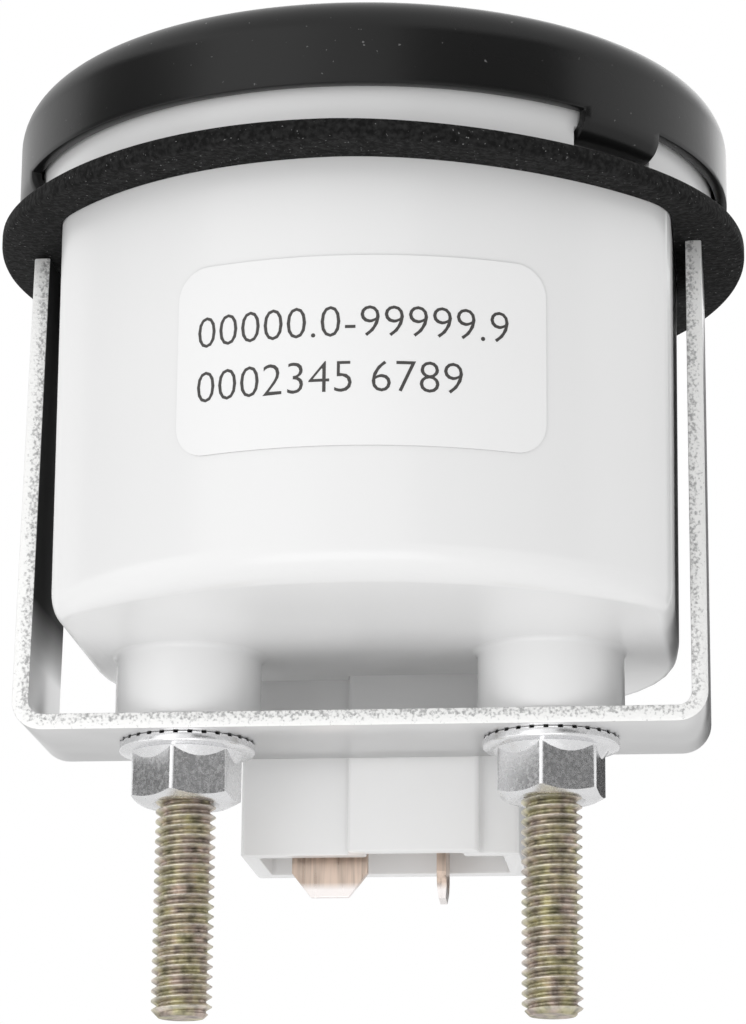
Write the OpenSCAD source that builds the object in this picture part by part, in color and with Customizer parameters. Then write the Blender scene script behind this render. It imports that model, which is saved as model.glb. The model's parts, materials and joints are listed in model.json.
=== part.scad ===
// Panel hour meter: a round body with two flats, clamp studs, a U bracket and a six wheel counter.
// The origin is the centre of the panel seat, the rear face of the gasket.
// +Z points out of the panel through the dial, and +X runs along the line of the studs.
// All sizes are in millimetres.

/* [Housing] */
// Outside diameter of the body that passes through the panel
body_d = 55.2; // [54.6:0.1:57.6]
// Depth of the two flats on the body, where the bracket legs lie
flat_depth = 1.8; // [1.4:0.1:2]
// Depth of the body behind the panel seat
body_depth = 32.8; // [32.4:0.1:40]
// Thickness of the body wall at the flats, and of its floor
wall = 1.8; // [1.5:0.1:2]
// Radius of the edge between the body wall and its floor
floor_edge_r = 2.2; // [2.1:0.1:3]
// Width of the flange beyond the body, on each side
flange_reach = 0.6; // [0.5:0.1:0.8]
// Height of the flange top above the panel seat
flange_top = 9; // [8.8:0.1:9.4]

/* [Bezel and lens] */
// Thickness of the bezel sheet
bezel_t = 0.9; // [0.8:0.05:1]
// Height of the bezel top above the panel seat
bezel_top = 12.6; // [12.6:0.1:13.2]
// Height of the bezel's lower edge above the panel seat
bezel_low = 4.9; // [4.7:0.1:5.1]
// Radius of the rounded shoulder of the bezel
bezel_shoulder_r = 3.3; // [3:0.1:3.6]
// Angle that one crimp tab takes up
tab_angle = 19; // [14:1:24]
// Thickness of the seal under the lens
lens_seal_t = 0.8; // [0.6:0.1:1]

/* [Panel gasket] */
// Width of the panel gasket ring
gasket_w = 3.1; // [2.5:0.1:5]
// Thickness of the panel gasket
gasket_t = 1.6; // [1.2:0.1:1.8]

/* [Clamp] */
// Distance between the two studs
stud_pitch = 29.4; // [28.6:0.1:31]
// Outside diameter of a stud's thread
stud_d = 4.86; // [4.6:0.02:5]
// Depth of the stud ends behind the panel seat
stud_end = 62; // [56:0.5:70]
// Diameter of the boss around each stud
boss_d = 11.8; // [11:0.1:12.4]
// Height of a boss below the body floor
boss_h = 5.8; // [5:0.1:7]
// Width of the bracket strip
strip_w = 12.7; // [12:0.1:13]
// Thickness of the bracket strip
strip_t = 1.3; // [1:0.1:1.6]
// Outside radius of the bracket bends
bend_r = 2.4; // [2:0.1:3]
// Distance across the flats of a nut
nut_flats = 8; // [7.8:0.1:8.4]
// Diameter of a nut's flange
nut_flange_d = 11; // [10.6:0.1:11.6]
// Height of a nut with its flange
nut_h = 5; // [4.5:0.1:5.5]

/* [Connector] */
// Width of the connector shroud
shroud_w = 23; // [22:0.1:24]
// Depth of the shroud rim behind the panel seat
shroud_end = 47.5; // [46:0.5:52]
// Distance from the middle plane to the shroud's front wall
shroud_front = 8.6; // [8.5:0.1:8.8]
// Distance from the middle plane to the shroud's back wall
shroud_back = 19.5; // [19.2:0.1:20]
// Thickness of the shroud walls
shroud_wall = 1.4; // [1.2:0.1:1.6]
// Width of a terminal blade
blade_w = 6.3; // [6:0.1:6.4]
// Thickness of a terminal blade
blade_t = 0.8; // [0.7:0.05:0.9]
// Length of a blade beyond the shroud rim
blade_out = 3; // [2:0.1:4]

/* [Label] */
// Length of the label around the body
label_l = 29; // [20:0.1:34]
// Height of the label
label_h = 15; // [10:0.1:18]
// Radius of the label corners
label_corner_r = 2.5; // [1:0.1:4]

/* [Counter] */
// Diameter of a number wheel
wheel_d = 14.4; // [14:0.1:14.6]
// Distance from one number wheel to the next
wheel_pitch = 4.4; // [4.2:0.05:4.5]
// Module of the carry gears
carry_module = 0.6; // [0.58:0.01:0.6]
// Radial clearance of a wheel or gear on its shaft
running_fit = 0.03; // [0.02:0.01:0.05]

/* [Hidden] */
WHEELS = ["wheel_tenths", "wheel_units", "wheel_tens", "wheel_hundreds", "wheel_thousands",
    "wheel_ten_thousands"];
PINIONS = ["transfer_pinion_1", "transfer_pinion_2", "transfer_pinion_3", "transfer_pinion_4",
    "transfer_pinion_5"];
$fn = 96;
// Overshoot of a cut past the face that it opens
past = 0.5;

// Body and flange
body_r = body_d / 2;
flat_x = body_r - flat_depth;
flat_chamfer = 0.8;
bore_r = flat_x - wall;
floor_z = -body_depth + wall;
flange_r = body_r + flange_reach;
seat_clear = 0.1;
dial_t = 0.8;
dial_seat_z = flange_top - 2;
dial_seat_r = bore_r + 1;

// Bezel, its tabs and the lens under it
bezel_clear = 0.1;
bezel_r = flange_r + bezel_clear + bezel_t;
bezel_opening_r = bore_r + 0.2;
TAB_ANGLES = [-42, 78, 198];
tab_curl_r = 2.1;
tab_curl_x = bezel_r - tab_curl_r;
tab_curl_z = bezel_low - 0.2;
tab_lug_r = tab_curl_r - bezel_t - 0.05;
tab_pocket_depth = tab_curl_r + 0.6;
tab_pocket_side = 1;
lens_low = flange_top + lens_seal_t;
lens_high = bezel_top - bezel_t;
lens_step = (lens_high - lens_low) / 2;
lens_rim_r = bore_r + 2.6;
lens_face_r = bezel_r - bezel_shoulder_r - 0.1;

// Studs, bracket and nuts
stud_r = stud_d / 2;
stud_x = stud_pitch / 2;
boss_z = -body_depth - boss_h;
stud_head_r = 3.6;
stud_head_h = 2;
stud_head_z = floor_z + 1.5;
stud_tip = 0.6;
anchor_r = stud_head_r + 1;
anchor_z = stud_head_z + stud_head_h + 1;
bracket_inside = flat_x + 0.27;
bracket_outside = bracket_inside + strip_t;
bracket_leg_z = -0.2;
bracket_hole_r = stud_r + 0.3;
nut_z = boss_z - strip_t;
nut_rim_h = 0.7;
nut_flange_h = 2;
nut_face_r = nut_flats / 2 - 0.25;
nut_turn = 23;
thread_clear = 0.02;
// The thread that nut and housing grip is drawn at its pitch radius
grip_r = stud_r - 0.26;
free_thread_z = nut_z - nut_h - 0.3;

// Connector shroud and its blades
shroud_x = shroud_w / 2;
SHROUD_KEY_X = [-2.5, 8.3];
shroud_key_y = shroud_front - 1.6;
shroud_root_z = floor_z - 0.5;
blade_tip_z = -shroud_end - blade_out;
blade_tip_w = 0.5 * blade_w;
blade_tip_h = 2;
blade_tail_w = 2;
FLAT_BLADE = [-4.4, 11.8];
CROSS_BLADE = [4.8, 14.1];

// Label on the body wall
label_t = 0.12;
label_z = -15.5;
label_angle = -86.1;

// Counter: the wheels and pinions turn about axes along X
counter_z = dial_seat_z - 0.6 - wheel_d / 2;
wheel_shaft_r = 1;
rim_w = wheel_pitch - 1.6;
side_w = 0.7;
carry_teeth = 20;
pinion_teeth = 8;
pressure_angle = 25;
addendum = 0.8;
dedendum = 1.1;
tooth_share = 0.46;
carry_centre = carry_module * (carry_teeth + pinion_teeth) / 2;
carry_z = counter_z - carry_centre;
pinion_tip_r = tip_r(carry_module, pinion_teeth);
pinion_shaft_r = 0.75;
pinion_side_gap = 0.05;
pinion_l = wheel_pitch - rim_w - 2 * pinion_side_gap;
lock_r = carry_centre - pinion_tip_r - 0.3;
carry_tooth_r = lock_r + 0.9;
carry_tooth_w = 0.8;
// A lower wheel stands 18 degrees past its carry at a reading of zero, and its train follows
carry_lead = 18;
wheel_to_pinion = 0.25;
wheel_to_wheel = 0.1;
hub_r = 2.2;
hub_side = wheel_pitch / 2 - 0.05;
wheel_first_x = wheel_pitch * (len(WHEELS) - 1) / 2;
window_x = wheel_first_x + rim_w / 2 + 0.6;
window_y = 2.9;
bearing_x_left = -wheel_first_x - wheel_pitch / 2 - 0.8;
bearing_x_right = wheel_first_x + wheel_pitch / 2 + 3.2;

// Reduction train between the motor and the tenths wheel
drive_module = 0.3;
drive_teeth = 40;
input_module = 0.25;
input_teeth = 40;
drive_w = 0.8;
drive_x = wheel_first_x + rim_w / 2 + side_w + 0.1;
input_x = drive_x + drive_w + 0.5;
DRIVE_DIR = -30;
INPUT_DIR = -60;
drive_centre = drive_module * (drive_teeth + pinion_teeth) / 2;
input_centre = input_module * (input_teeth + pinion_teeth) / 2;
reduction_y = drive_centre * cos(DRIVE_DIR);
reduction_z = counter_z + drive_centre * sin(DRIVE_DIR);
motor_y = reduction_y + input_centre * cos(INPUT_DIR);
motor_z = reduction_z + input_centre * sin(INPUT_DIR);
reduction_pin_r = 0.6;
motor_shaft_r = 0.5;
motor_r = 4.9;
motor_setback = 1.8;
motor_x = input_x - motor_setback;
motor_l = 16.5;
motor_nose = 1;
motor_shaft_l = 3;
motor_block_w = 6;
motor_block_l = 2;
motor_pin_r = 0.35;
motor_pin_pitch = 2.4;
MOTOR_PINS_Y = [motor_y - motor_pin_pitch / 2, motor_y + motor_pin_pitch / 2];
motor_pin_x = motor_x - motor_l - motor_block_l / 2;
pinion_overhang = 0.1;

// Movement frame and the posts that carry it
cheek_t = 1.6;
cheek_above = 4;
cheek_top = counter_z + cheek_above;
cheek_front = -5;
cheek_back = 6;
gear_cheek_reach = 2.5;
gear_cheek_back = motor_y + gear_cheek_reach;
saddle_w = 2;
saddle_wall = 1;
saddle_top = motor_z + saddle_wall;
SADDLES_X = [motor_x - motor_l + saddle_w, motor_x - 2 * saddle_w];
plate_t = 1.6;
motor_lift = 1.4;
plate_z = motor_z - motor_r - motor_lift;
frame_room = plate_z - plate_t - floor_z;
plate_r = bore_r - 0.4;
post_circle_r = bore_r - 4.2;
POST_ANGLES = [45, 135, 270];
post_r = 2.4;
shoulder_r = 3.4;
shoulder_z = floor_z + 0.46 * frame_room;
screw_r = 1.1;
screw_l = 6;
screw_head_r = 2;
screw_head_h = 1.3;
screw_clear = 0.2;

// Circuit board and what is soldered to it
board_t = 1.6;
board_r = bore_r - 0.8;
board_top = shoulder_z + board_t;
board_hole_clear = 0.15;
board_room = plate_z - plate_t - board_top;
pin_tail = 0.8;
capacitor_d = 6.3;
capacitor_h = 0.8 * board_room;
crystal_h = 0.6 * board_room;
CAPACITOR_AT = board_r * [-0.47, -0.22];
CRYSTAL_AT = board_r * [0.04, -0.47];
RECTIFIER_AT = board_r * [-0.04, 0.04];
RECTIFIER_BODY = [4.7, 4, 2.4];
rectifier_pitch = 2.5;
DRIVER_AT = board_r * [0.39, -0.17];
DRIVER_BODY = [8.6, 4, 1.6];
driver_pitch = 1.27;
RESISTORS_AT = [board_r * [0.51, 0.2], board_r * [0.51, 0.37]];

function tip_r(m, teeth) = m * (teeth / 2 + addendum);
// Angle, in degrees, that an involute has turned at a distance r from its centre
function involute_turn(base, r) =
    let (s = sqrt(max(0, (r / base) ^ 2 - 1)))
    s * 180 / PI - atan(s);
// Half of a tooth's angle at a distance r from the centre of its gear
function half_tooth(m, teeth, r) =
    let (base = m * teeth / 2 * cos(pressure_angle))
    180 * tooth_share / teeth + involute_turn(base, m * teeth / 2) - involute_turn(base, r);
function polar(r, angle) = [r * cos(angle), r * sin(angle)];
// Outline of the teeth centred at the given angles, on the root circle of a gear
function gear_outline(m, teeth, angles) =
    let (
        root = m * (teeth / 2 - dedendum),
        base = max(root, m * teeth / 2 * cos(pressure_angle)),
        tip = tip_r(m, teeth),
        radii = [root, base, (base + tip) / 2, tip]
    )
    [for (a = angles) each concat(
        [for (r = radii) polar(r, a - half_tooth(m, teeth, r))],
        [for (i = [len(radii) - 1:-1:0]) polar(radii[i], a + half_tooth(m, teeth, radii[i]))]
    )];
function tooth_angles(teeth, first) = [for (i = [0:teeth - 1]) first + i * 360 / teeth];
function wheel_x(i) = wheel_first_x - i * wheel_pitch;

// Block turned about Z, from z_low to z_high, with its lower edge rounded
module turned_section(r, z_low, z_high, edge_r) {
    translate([0, z_low])
        square([r - edge_r, z_high - z_low]);
    translate([0, z_low + edge_r])
        square([r, z_high - z_low - edge_r]);
    translate([r - edge_r, z_low + edge_r])
        circle(edge_r);
}

// The same block with its upper edge rounded
module domed_section(r, z_low, z_high, edge_r) {
    translate([0, z_low + z_high])
        mirror([0, 1])
            turned_section(r, z_low, z_high, edge_r);
}

module disc(r, z_low, z_high) {
    translate([0, 0, z_low])
        cylinder(r = r, h = z_high - z_low);
}

module ring(outer_r, inner_r, z_low, z_high) {
    difference() {
        disc(outer_r, z_low, z_high);
        disc(inner_r, z_low - past, z_high + past);
    }
}

// Section in the XZ plane turned about Z through an angle that is centred on a direction
module arc_about_z(direction, angle) {
    rotate([0, 0, direction - angle / 2])
        rotate_extrude(angle = angle)
            children();
}

// Local Z runs along global X, local X along Y and local Y along Z
module along_x(x, y, z) {
    translate([x, y, z])
        rotate([90, 0, 90])
            children();
}

module shaft_x(r, x_low, x_high, y, z) {
    along_x(x_low, y, z)
        cylinder(r = r, h = x_high - x_low);
}

module box(x, y, z) {
    translate([x[0], y[0], z[0]])
        cube([x[1] - x[0], y[1] - y[0], z[1] - z[0]]);
}

module at_studs() {
    for (side = [-1, 1])
        translate([side * stud_x, 0, 0])
            children();
}

module at_posts() {
    for (a = POST_ANGLES)
        translate([post_circle_r * cos(a), post_circle_r * sin(a), 0])
            children();
}

module gear(m, teeth, first, w) {
    linear_extrude(w)
        polygon(gear_outline(m, teeth, tooth_angles(teeth, first)));
}

// Pocket in the flange wall that leaves a rounded lug for a tab to grip
module tab_pocket_section() {
    difference() {
        translate([bezel_r - tab_pocket_depth, gasket_t - past])
            square([tab_pocket_depth, tab_curl_z - gasket_t + past]);
        translate([bezel_r - tab_pocket_depth - past, tab_curl_z - tab_lug_r])
            square([tab_curl_x - bezel_r + tab_pocket_depth + past, tab_lug_r + past]);
        translate([tab_curl_x, tab_curl_z])
            circle(tab_lug_r);
    }
}

module shroud_outline(inset) {
    translate([-shroud_x + inset, shroud_front + inset])
        square([shroud_w - 2 * inset, shroud_back - shroud_front - 2 * inset]);
    translate([SHROUD_KEY_X[0] + inset, shroud_key_y + inset])
        square([SHROUD_KEY_X[1] - SHROUD_KEY_X[0] - 2 * inset, shroud_back - shroud_key_y - 2 * inset]);
}

// Outline of the body seen along Z, a circle with two flats
module body_outline(clear) {
    intersection() {
        circle(body_r + clear);
        square([2 * (flat_x + clear), 2 * body_d], center = true);
    }
}

// Round block with two flats, whose lower edges are chamfered
module body_block() {
    intersection() {
        rotate_extrude()
            turned_section(body_r, -body_depth, flange_top, floor_edge_r);
        rotate([90, 0, 0])
            linear_extrude(2 * body_d, center = true)
                polygon([
                    [-flat_x, flange_top + past],
                    [-flat_x, -body_depth + flat_chamfer],
                    [-flat_x + flat_chamfer + past, -body_depth - past],
                    [flat_x - flat_chamfer - past, -body_depth - past],
                    [flat_x, -body_depth + flat_chamfer],
                    [flat_x, flange_top + past]
                ]);
    }
}

module body_cup() {
    difference() {
        union() {
            body_block();
            disc(flange_r, gasket_t, flange_top);
        }
        rotate_extrude()
            turned_section(bore_r, floor_z, flange_top + past, floor_edge_r - wall);
        disc(dial_seat_r, dial_seat_z, flange_top + past);
        for (a = TAB_ANGLES)
            arc_about_z(a, tab_angle + tab_pocket_side)
                tab_pocket_section();
    }
}

module frame_posts() {
    at_posts() {
        disc(shoulder_r, floor_z - wall / 2, shoulder_z);
        disc(post_r, shoulder_z - past, plate_z - plate_t);
    }
}

module housing() {
    color("whitesmoke")
        difference() {
            union() {
                body_cup();
                frame_posts();
                at_studs() {
                    disc(boss_d / 2, boss_z, -body_depth + wall / 2);
                    disc(anchor_r, floor_z - wall / 2, anchor_z);
                }
                translate([0, 0, -shroud_end])
                    linear_extrude(shroud_end + shroud_root_z)
                        shroud_outline(0);
            }
            translate([0, 0, -shroud_end - past])
                linear_extrude(shroud_end + past - body_depth)
                    shroud_outline(shroud_wall);
            at_studs()
                stud();
            at_posts()
                disc(screw_r, plate_z - screw_l, plate_z);
            terminal_flat();
            terminal_cross();
        }
}

// Turned bezel section, down to the end of the tab that curls under the flange
module bezel_section() {
    difference() {
        domed_section(bezel_r, tab_curl_z, bezel_top, bezel_shoulder_r);
        domed_section(bezel_r - bezel_t, tab_curl_z - past, bezel_top - bezel_t, bezel_shoulder_r - bezel_t);
        translate([0, bezel_top - bezel_shoulder_r])
            square([bezel_opening_r, bezel_shoulder_r + past]);
    }
    translate([tab_curl_x, tab_curl_z])
        intersection() {
            difference() {
                circle(tab_curl_r);
                circle(tab_curl_r - bezel_t);
            }
            translate([0, -tab_curl_r])
                square([tab_curl_r, tab_curl_r]);
        }
}

module bezel() {
    between = 360 / len(TAB_ANGLES);
    color("#141414")
        difference() {
            rotate_extrude()
                bezel_section();
            for (a = TAB_ANGLES)
                arc_about_z(a + between / 2, between - tab_angle)
                    translate([tab_curl_x - past, tab_curl_z - tab_curl_r - past])
                        square([2 * tab_curl_r, bezel_low - tab_curl_z + tab_curl_r + past]);
        }
}

module lens() {
    color("lightcyan", 0.4) {
        disc(lens_rim_r, lens_low, lens_low + lens_step);
        disc(lens_face_r, lens_low, lens_high);
    }
}

module lens_seal() {
    color("#202020")
        ring(lens_rim_r, dial_seat_r, flange_top, lens_low);
}

module panel_gasket() {
    color("#1c1c1c")
        linear_extrude(gasket_t)
            difference() {
                circle(body_r + seat_clear + gasket_w);
                body_outline(seat_clear);
            }
}

module label() {
    color("white")
        intersection() {
            arc_about_z(label_angle, label_l / body_r * 180 / PI)
                translate([body_r, label_z - label_h / 2])
                    square([label_t, label_h]);
            rotate([0, 0, label_angle + 90])
                rotate([90, 0, 0])
                    linear_extrude(2 * body_r)
                        label_outline();
        }
}

module label_outline() {
    reach_x = body_r * sin(label_l / body_r * 90 / PI) - label_corner_r;
    reach_z = label_h / 2 - label_corner_r;
    translate([0, label_z]) {
        square([2 * (reach_x + label_corner_r), 2 * reach_z], center = true);
        square([2 * reach_x, label_h], center = true);
        for (sx = [-1, 1], sz = [-1, 1])
            translate([sx * reach_x, sz * reach_z])
                circle(label_corner_r);
    }
}

// Stud with the round head that is moulded into the housing
module stud() {
    translate([0, 0, -stud_end])
        cylinder(r1 = stud_r - stud_tip, r2 = stud_r, h = stud_tip);
    disc(stud_r, -stud_end + stud_tip, free_thread_z);
    disc(grip_r, free_thread_z - past, stud_head_z + past);
    disc(stud_head_r, stud_head_z, stud_head_z + stud_head_h);
}

module mounting_studs() {
    color("darkkhaki")
        at_studs()
            stud();
}

module bracket_outline(half, z_low, edge_r) {
    translate([-half + edge_r, z_low])
        square([2 * (half - edge_r), bracket_leg_z - z_low]);
    translate([-half, z_low + edge_r])
        square([2 * half, bracket_leg_z - z_low - edge_r]);
    for (side = [-1, 1])
        translate([side * (half - edge_r), z_low + edge_r])
            circle(edge_r);
}

module clamp_bracket() {
    color("silver")
        difference() {
            translate([0, strip_w / 2, 0])
                rotate([90, 0, 0])
                    linear_extrude(strip_w)
                        difference() {
                            bracket_outline(bracket_outside, nut_z, bend_r);
                            translate([0, past])
                                bracket_outline(bracket_inside, boss_z - past, bend_r - strip_t);
                        }
            at_studs()
                disc(bracket_hole_r, nut_z - past, boss_z + past);
        }
}

// Hexagon with a chamfered end, on a flange with a sloping back
module nut_body() {
    corner_r = nut_flats / 2 / cos(30);
    beyond_r = corner_r + past;
    intersection() {
        rotate([0, 0, nut_turn])
            cylinder(r = corner_r, h = nut_h, $fn = 6);
        rotate_extrude()
            polygon([
                [0, 0],
                [nut_face_r, 0],
                [beyond_r, (beyond_r - nut_face_r) * tan(30)],
                [beyond_r, nut_h],
                [0, nut_h]
            ]);
    }
    rotate_extrude()
        polygon([
            [0, nut_h],
            [nut_flange_d / 2, nut_h],
            [nut_flange_d / 2, nut_h - nut_rim_h],
            [nut_face_r, nut_h - nut_flange_h],
            [0, nut_h - nut_flange_h]
        ]);
}

module flange_nuts() {
    color("gainsboro")
        at_studs()
            difference() {
                translate([0, 0, nut_z - nut_h])
                    nut_body();
                disc(grip_r + thread_clear, nut_z - nut_h - past, nut_z + past);
            }
}

// Blade in the XZ plane, with a tapered tip below and a solder tail above
module blade() {
    tail_z = board_top + 1;
    shoulder = floor_z + 1;
    rotate([90, 0, 0])
        linear_extrude(blade_t, center = true)
            polygon([
                [-blade_tip_w / 2, blade_tip_z],
                [blade_tip_w / 2, blade_tip_z],
                [blade_w / 2, blade_tip_z + blade_tip_h],
                [blade_w / 2, shoulder],
                [blade_tail_w / 2, shoulder],
                [blade_tail_w / 2, tail_z],
                [-blade_tail_w / 2, tail_z],
                [-blade_tail_w / 2, shoulder],
                [-blade_w / 2, shoulder],
                [-blade_w / 2, blade_tip_z + blade_tip_h]
            ]);
}

module terminal_flat() {
    color("rosybrown")
        translate(FLAT_BLADE)
            blade();
}

module terminal_cross() {
    color("rosybrown")
        translate(CROSS_BLADE)
            rotate([0, 0, 90])
                blade();
}

module dial_plate() {
    color("#181818")
        difference() {
            disc(dial_seat_r - seat_clear, dial_seat_z, dial_seat_z + dial_t);
            box([-window_x, window_x], [-window_y, window_y], [dial_seat_z - past, flange_top]);
        }
}

// Upright that holds the shaft ends, drawn across Y from y_low to y_high
module cheek(x, y_low, y_high) {
    box([x, x + cheek_t], [y_low, y_high], [plate_z - past, cheek_top]);
}

module movement_frame() {
    color("ivory")
        difference() {
            union() {
                disc(plate_r, plate_z - plate_t, plate_z);
                cheek(bearing_x_left - cheek_t, cheek_front, cheek_back);
                cheek(bearing_x_right, cheek_front, gear_cheek_back);
                for (x = SADDLES_X)
                    box([x, x + saddle_w],
                        [motor_y - motor_r - saddle_wall, motor_y + motor_r + saddle_wall],
                        [plate_z - past, saddle_top]);
            }
            shaft_x(wheel_shaft_r, -body_r, body_r, 0, counter_z);
            shaft_x(pinion_shaft_r, -body_r, body_r, 0, carry_z);
            shaft_x(reduction_pin_r, 0, body_r, reduction_y, reduction_z);
            shaft_x(motor_r, motor_x - motor_l, motor_x, motor_y, motor_z);
            at_posts()
                disc(screw_r + screw_clear, plate_z - plate_t - past, plate_z + past);
            for (y = MOTOR_PINS_Y)
                translate([motor_pin_x, y, 0])
                    disc(motor_pin_r + screw_clear, plate_z - plate_t - past, plate_z + past);
        }
}

module frame_screws() {
    color("silver")
        at_posts() {
            disc(screw_r, plate_z - screw_l, plate_z + past);
            disc(screw_head_r, plate_z, plate_z + screw_head_h);
        }
}

module wheel_shaft() {
    color("silver")
        shaft_x(wheel_shaft_r, bearing_x_left - cheek_t, bearing_x_right + cheek_t, 0, counter_z);
}

module pinion_shaft() {
    color("silver")
        shaft_x(pinion_shaft_r, bearing_x_left - cheek_t, bearing_x_right + cheek_t, 0, carry_z);
}

// Number wheel: rim, hub, the gear that turns it on its right and the carry tooth on its left
module number_wheel(i) {
    driven = i > 0;
    carries = i < len(WHEELS) - 1;
    carry_dir = -90 + carry_lead;
    gap_dir = -90 + carry_lead * wheel_to_wheel;
    color("#1a1a1a")
        difference() {
            along_x(wheel_x(i), 0, counter_z) {
                disc(wheel_d / 2, -rim_w / 2, rim_w / 2);
                disc(hub_r, -hub_side, driven ? hub_side : rim_w / 2 + side_w);
                if (driven)
                    translate([0, 0, rim_w / 2])
                        gear(carry_module, carry_teeth, gap_dir + 180 / carry_teeth, side_w);
                if (carries)
                    carry_ring(carry_dir);
                if (!driven)
                    translate([0, 0, rim_w / 2])
                        drive_ring();
            }
            shaft_x(wheel_shaft_r + running_fit, -body_r, body_r, 0, counter_z);
        }
}

// Locking ring with one carry tooth, on the left of a rim
module carry_ring(direction) {
    translate([0, 0, -rim_w / 2 - side_w])
        linear_extrude(side_w) {
            circle(lock_r);
            rotate(direction)
                translate([0, -carry_tooth_w / 2])
                    square([carry_tooth_r, carry_tooth_w]);
        }
}

// Boss and fine gear by which the reduction gear turns the tenths wheel
module drive_ring() {
    gear_low = drive_x - wheel_first_x - rim_w / 2;
    disc(hub_r + 1, 0, gear_low);
    translate([0, 0, gear_low])
        gear(drive_module, drive_teeth, DRIVE_DIR + 180 / drive_teeth, drive_w);
}

// Pinion between two wheels: eight short teeth on its left, of which four run its whole length
module transfer_pinion(i) {
    x = wheel_x(i + 1) + rim_w / 2 + pinion_side_gap;
    first = 90 - carry_lead * wheel_to_pinion;
    long_angles = [for (k = [0:3]) first + 45 + 90 * k];
    color("ivory")
        difference() {
            along_x(x, 0, carry_z) {
                gear(carry_module, pinion_teeth, first, side_w);
                linear_extrude(pinion_l)
                    polygon(gear_outline(carry_module, pinion_teeth, long_angles));
            }
            shaft_x(pinion_shaft_r + running_fit, -body_r, body_r, 0, carry_z);
        }
}

module reduction_gear() {
    color("ivory")
        difference() {
            along_x(drive_x, reduction_y, reduction_z) {
                gear(drive_module, pinion_teeth, DRIVE_DIR + 180, input_x - drive_x + past);
                translate([0, 0, input_x - drive_x])
                    gear(input_module, input_teeth, INPUT_DIR + 180 / input_teeth, drive_w);
            }
            shaft_x(reduction_pin_r + running_fit, 0, body_r, reduction_y, reduction_z);
        }
}

module reduction_pin() {
    color("silver")
        shaft_x(reduction_pin_r, drive_x - 0.2, bearing_x_right + cheek_t, reduction_y, reduction_z);
}

// Closed motor with its own gears inside, a nose for the shaft and a block for the two pins
module stepping_motor() {
    color("silver")
        difference() {
            union() {
                shaft_x(motor_r, motor_x - motor_l, motor_x, motor_y, motor_z);
                shaft_x(motor_r / 2, motor_x - past, motor_x + motor_nose, motor_y, motor_z);
                box([motor_x - motor_l - motor_block_l, motor_x - motor_l + past],
                    [motor_y - motor_block_w / 2, motor_y + motor_block_w / 2],
                    [motor_z - motor_r / 2, motor_z + motor_r / 2]);
            }
            shaft_x(motor_shaft_r + running_fit, motor_x - motor_shaft_l, body_r, motor_y, motor_z);
        }
}

module motor_pinion() {
    color("goldenrod") {
        shaft_x(motor_shaft_r, motor_x - motor_shaft_l + running_fit, input_x + past, motor_y, motor_z);
        along_x(input_x - pinion_overhang, motor_y, motor_z)
            gear(input_module, pinion_teeth, INPUT_DIR + 180, drive_w + 2 * pinion_overhang);
    }
}

module motor_pins() {
    color("gold")
        for (y = MOTOR_PINS_Y)
            translate([motor_pin_x, y, 0])
                disc(motor_pin_r, shoulder_z - pin_tail, motor_z - motor_r / 2);
}

module circuit_board() {
    color("seagreen")
        difference() {
            disc(board_r, shoulder_z, board_top);
            at_posts()
                disc(post_r + board_hole_clear, shoulder_z - past, board_top + past);
            for (y = MOTOR_PINS_Y)
                translate([motor_pin_x, y, 0])
                    disc(motor_pin_r + board_hole_clear, shoulder_z - past, board_top + past);
            terminal_flat();
            terminal_cross();
        }
}

module capacitor() {
    color("#202428")
        translate(CAPACITOR_AT)
            disc(capacitor_d / 2, board_top, board_top + capacitor_h);
}

// Crystal in a flat can with round ends
module quartz_crystal() {
    can_l = 10;
    can_w = 4.4;
    color("lightgray")
        translate([CRYSTAL_AT[0], CRYSTAL_AT[1], board_top])
            linear_extrude(crystal_h) {
                square([can_l - can_w, can_w], center = true);
                for (side = [-1, 1])
                    translate([side * (can_l - can_w) / 2, 0])
                        circle(can_w / 2);
            }
}

// Flat package with rows of leads along two of its sides
module chip(place, body, leads, lead_pitch) {
    lead = [0.45, 1, 0.4];
    translate([place[0], place[1], board_top]) {
        translate([-body[0] / 2, -body[1] / 2, lead[2] / 2])
            cube([body[0], body[1], body[2]]);
        for (i = [0:leads - 1], side = [-1, 1])
            translate([(i - (leads - 1) / 2) * lead_pitch, side * body[1] / 2, lead[2] / 2])
                cube([lead[0], 2 * lead[1], lead[2]], center = true);
    }
}

module rectifier() {
    color("#181818")
        chip(RECTIFIER_AT, RECTIFIER_BODY, leads = 2, lead_pitch = rectifier_pitch);
}

module driver_chip() {
    color("#181818")
        chip(DRIVER_AT, DRIVER_BODY, leads = 7, lead_pitch = driver_pitch);
}

// Two resistors that lie on the board on their bent leads
module resistors() {
    barrel_r = 1.2;
    barrel_l = 6.3;
    lead_r = 0.3;
    lead_reach = barrel_l / 2 + 1.2;
    color("burlywood")
        for (place = RESISTORS_AT)
            translate(place) {
                shaft_x(barrel_r, -barrel_l / 2, barrel_l / 2, 0, board_top + barrel_r);
                shaft_x(lead_r, -lead_reach - lead_r, lead_reach + lead_r, 0, board_top + barrel_r);
                for (side = [-1, 1])
                    translate([side * lead_reach, 0, 0])
                        disc(lead_r, board_top, board_top + barrel_r);
            }
}

housing();
bezel();
lens();
lens_seal();
panel_gasket();
label();
mounting_studs();
clamp_bracket();
flange_nuts();
terminal_flat();
terminal_cross();
dial_plate();
movement_frame();
frame_screws();
wheel_shaft();
pinion_shaft();
for (i = [0:len(WHEELS) - 1])
    number_wheel(i);
for (i = [0:len(PINIONS) - 1])
    transfer_pinion(i);
reduction_gear();
reduction_pin();
stepping_motor();
motor_pinion();
motor_pins();
circuit_board();
capacitor();
quartz_crystal();
rectifier();
driver_chip();
resistors();
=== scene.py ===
"""Dresses a panel hour meter: fine meshes, finishes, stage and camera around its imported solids."""

import json
import math

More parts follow.
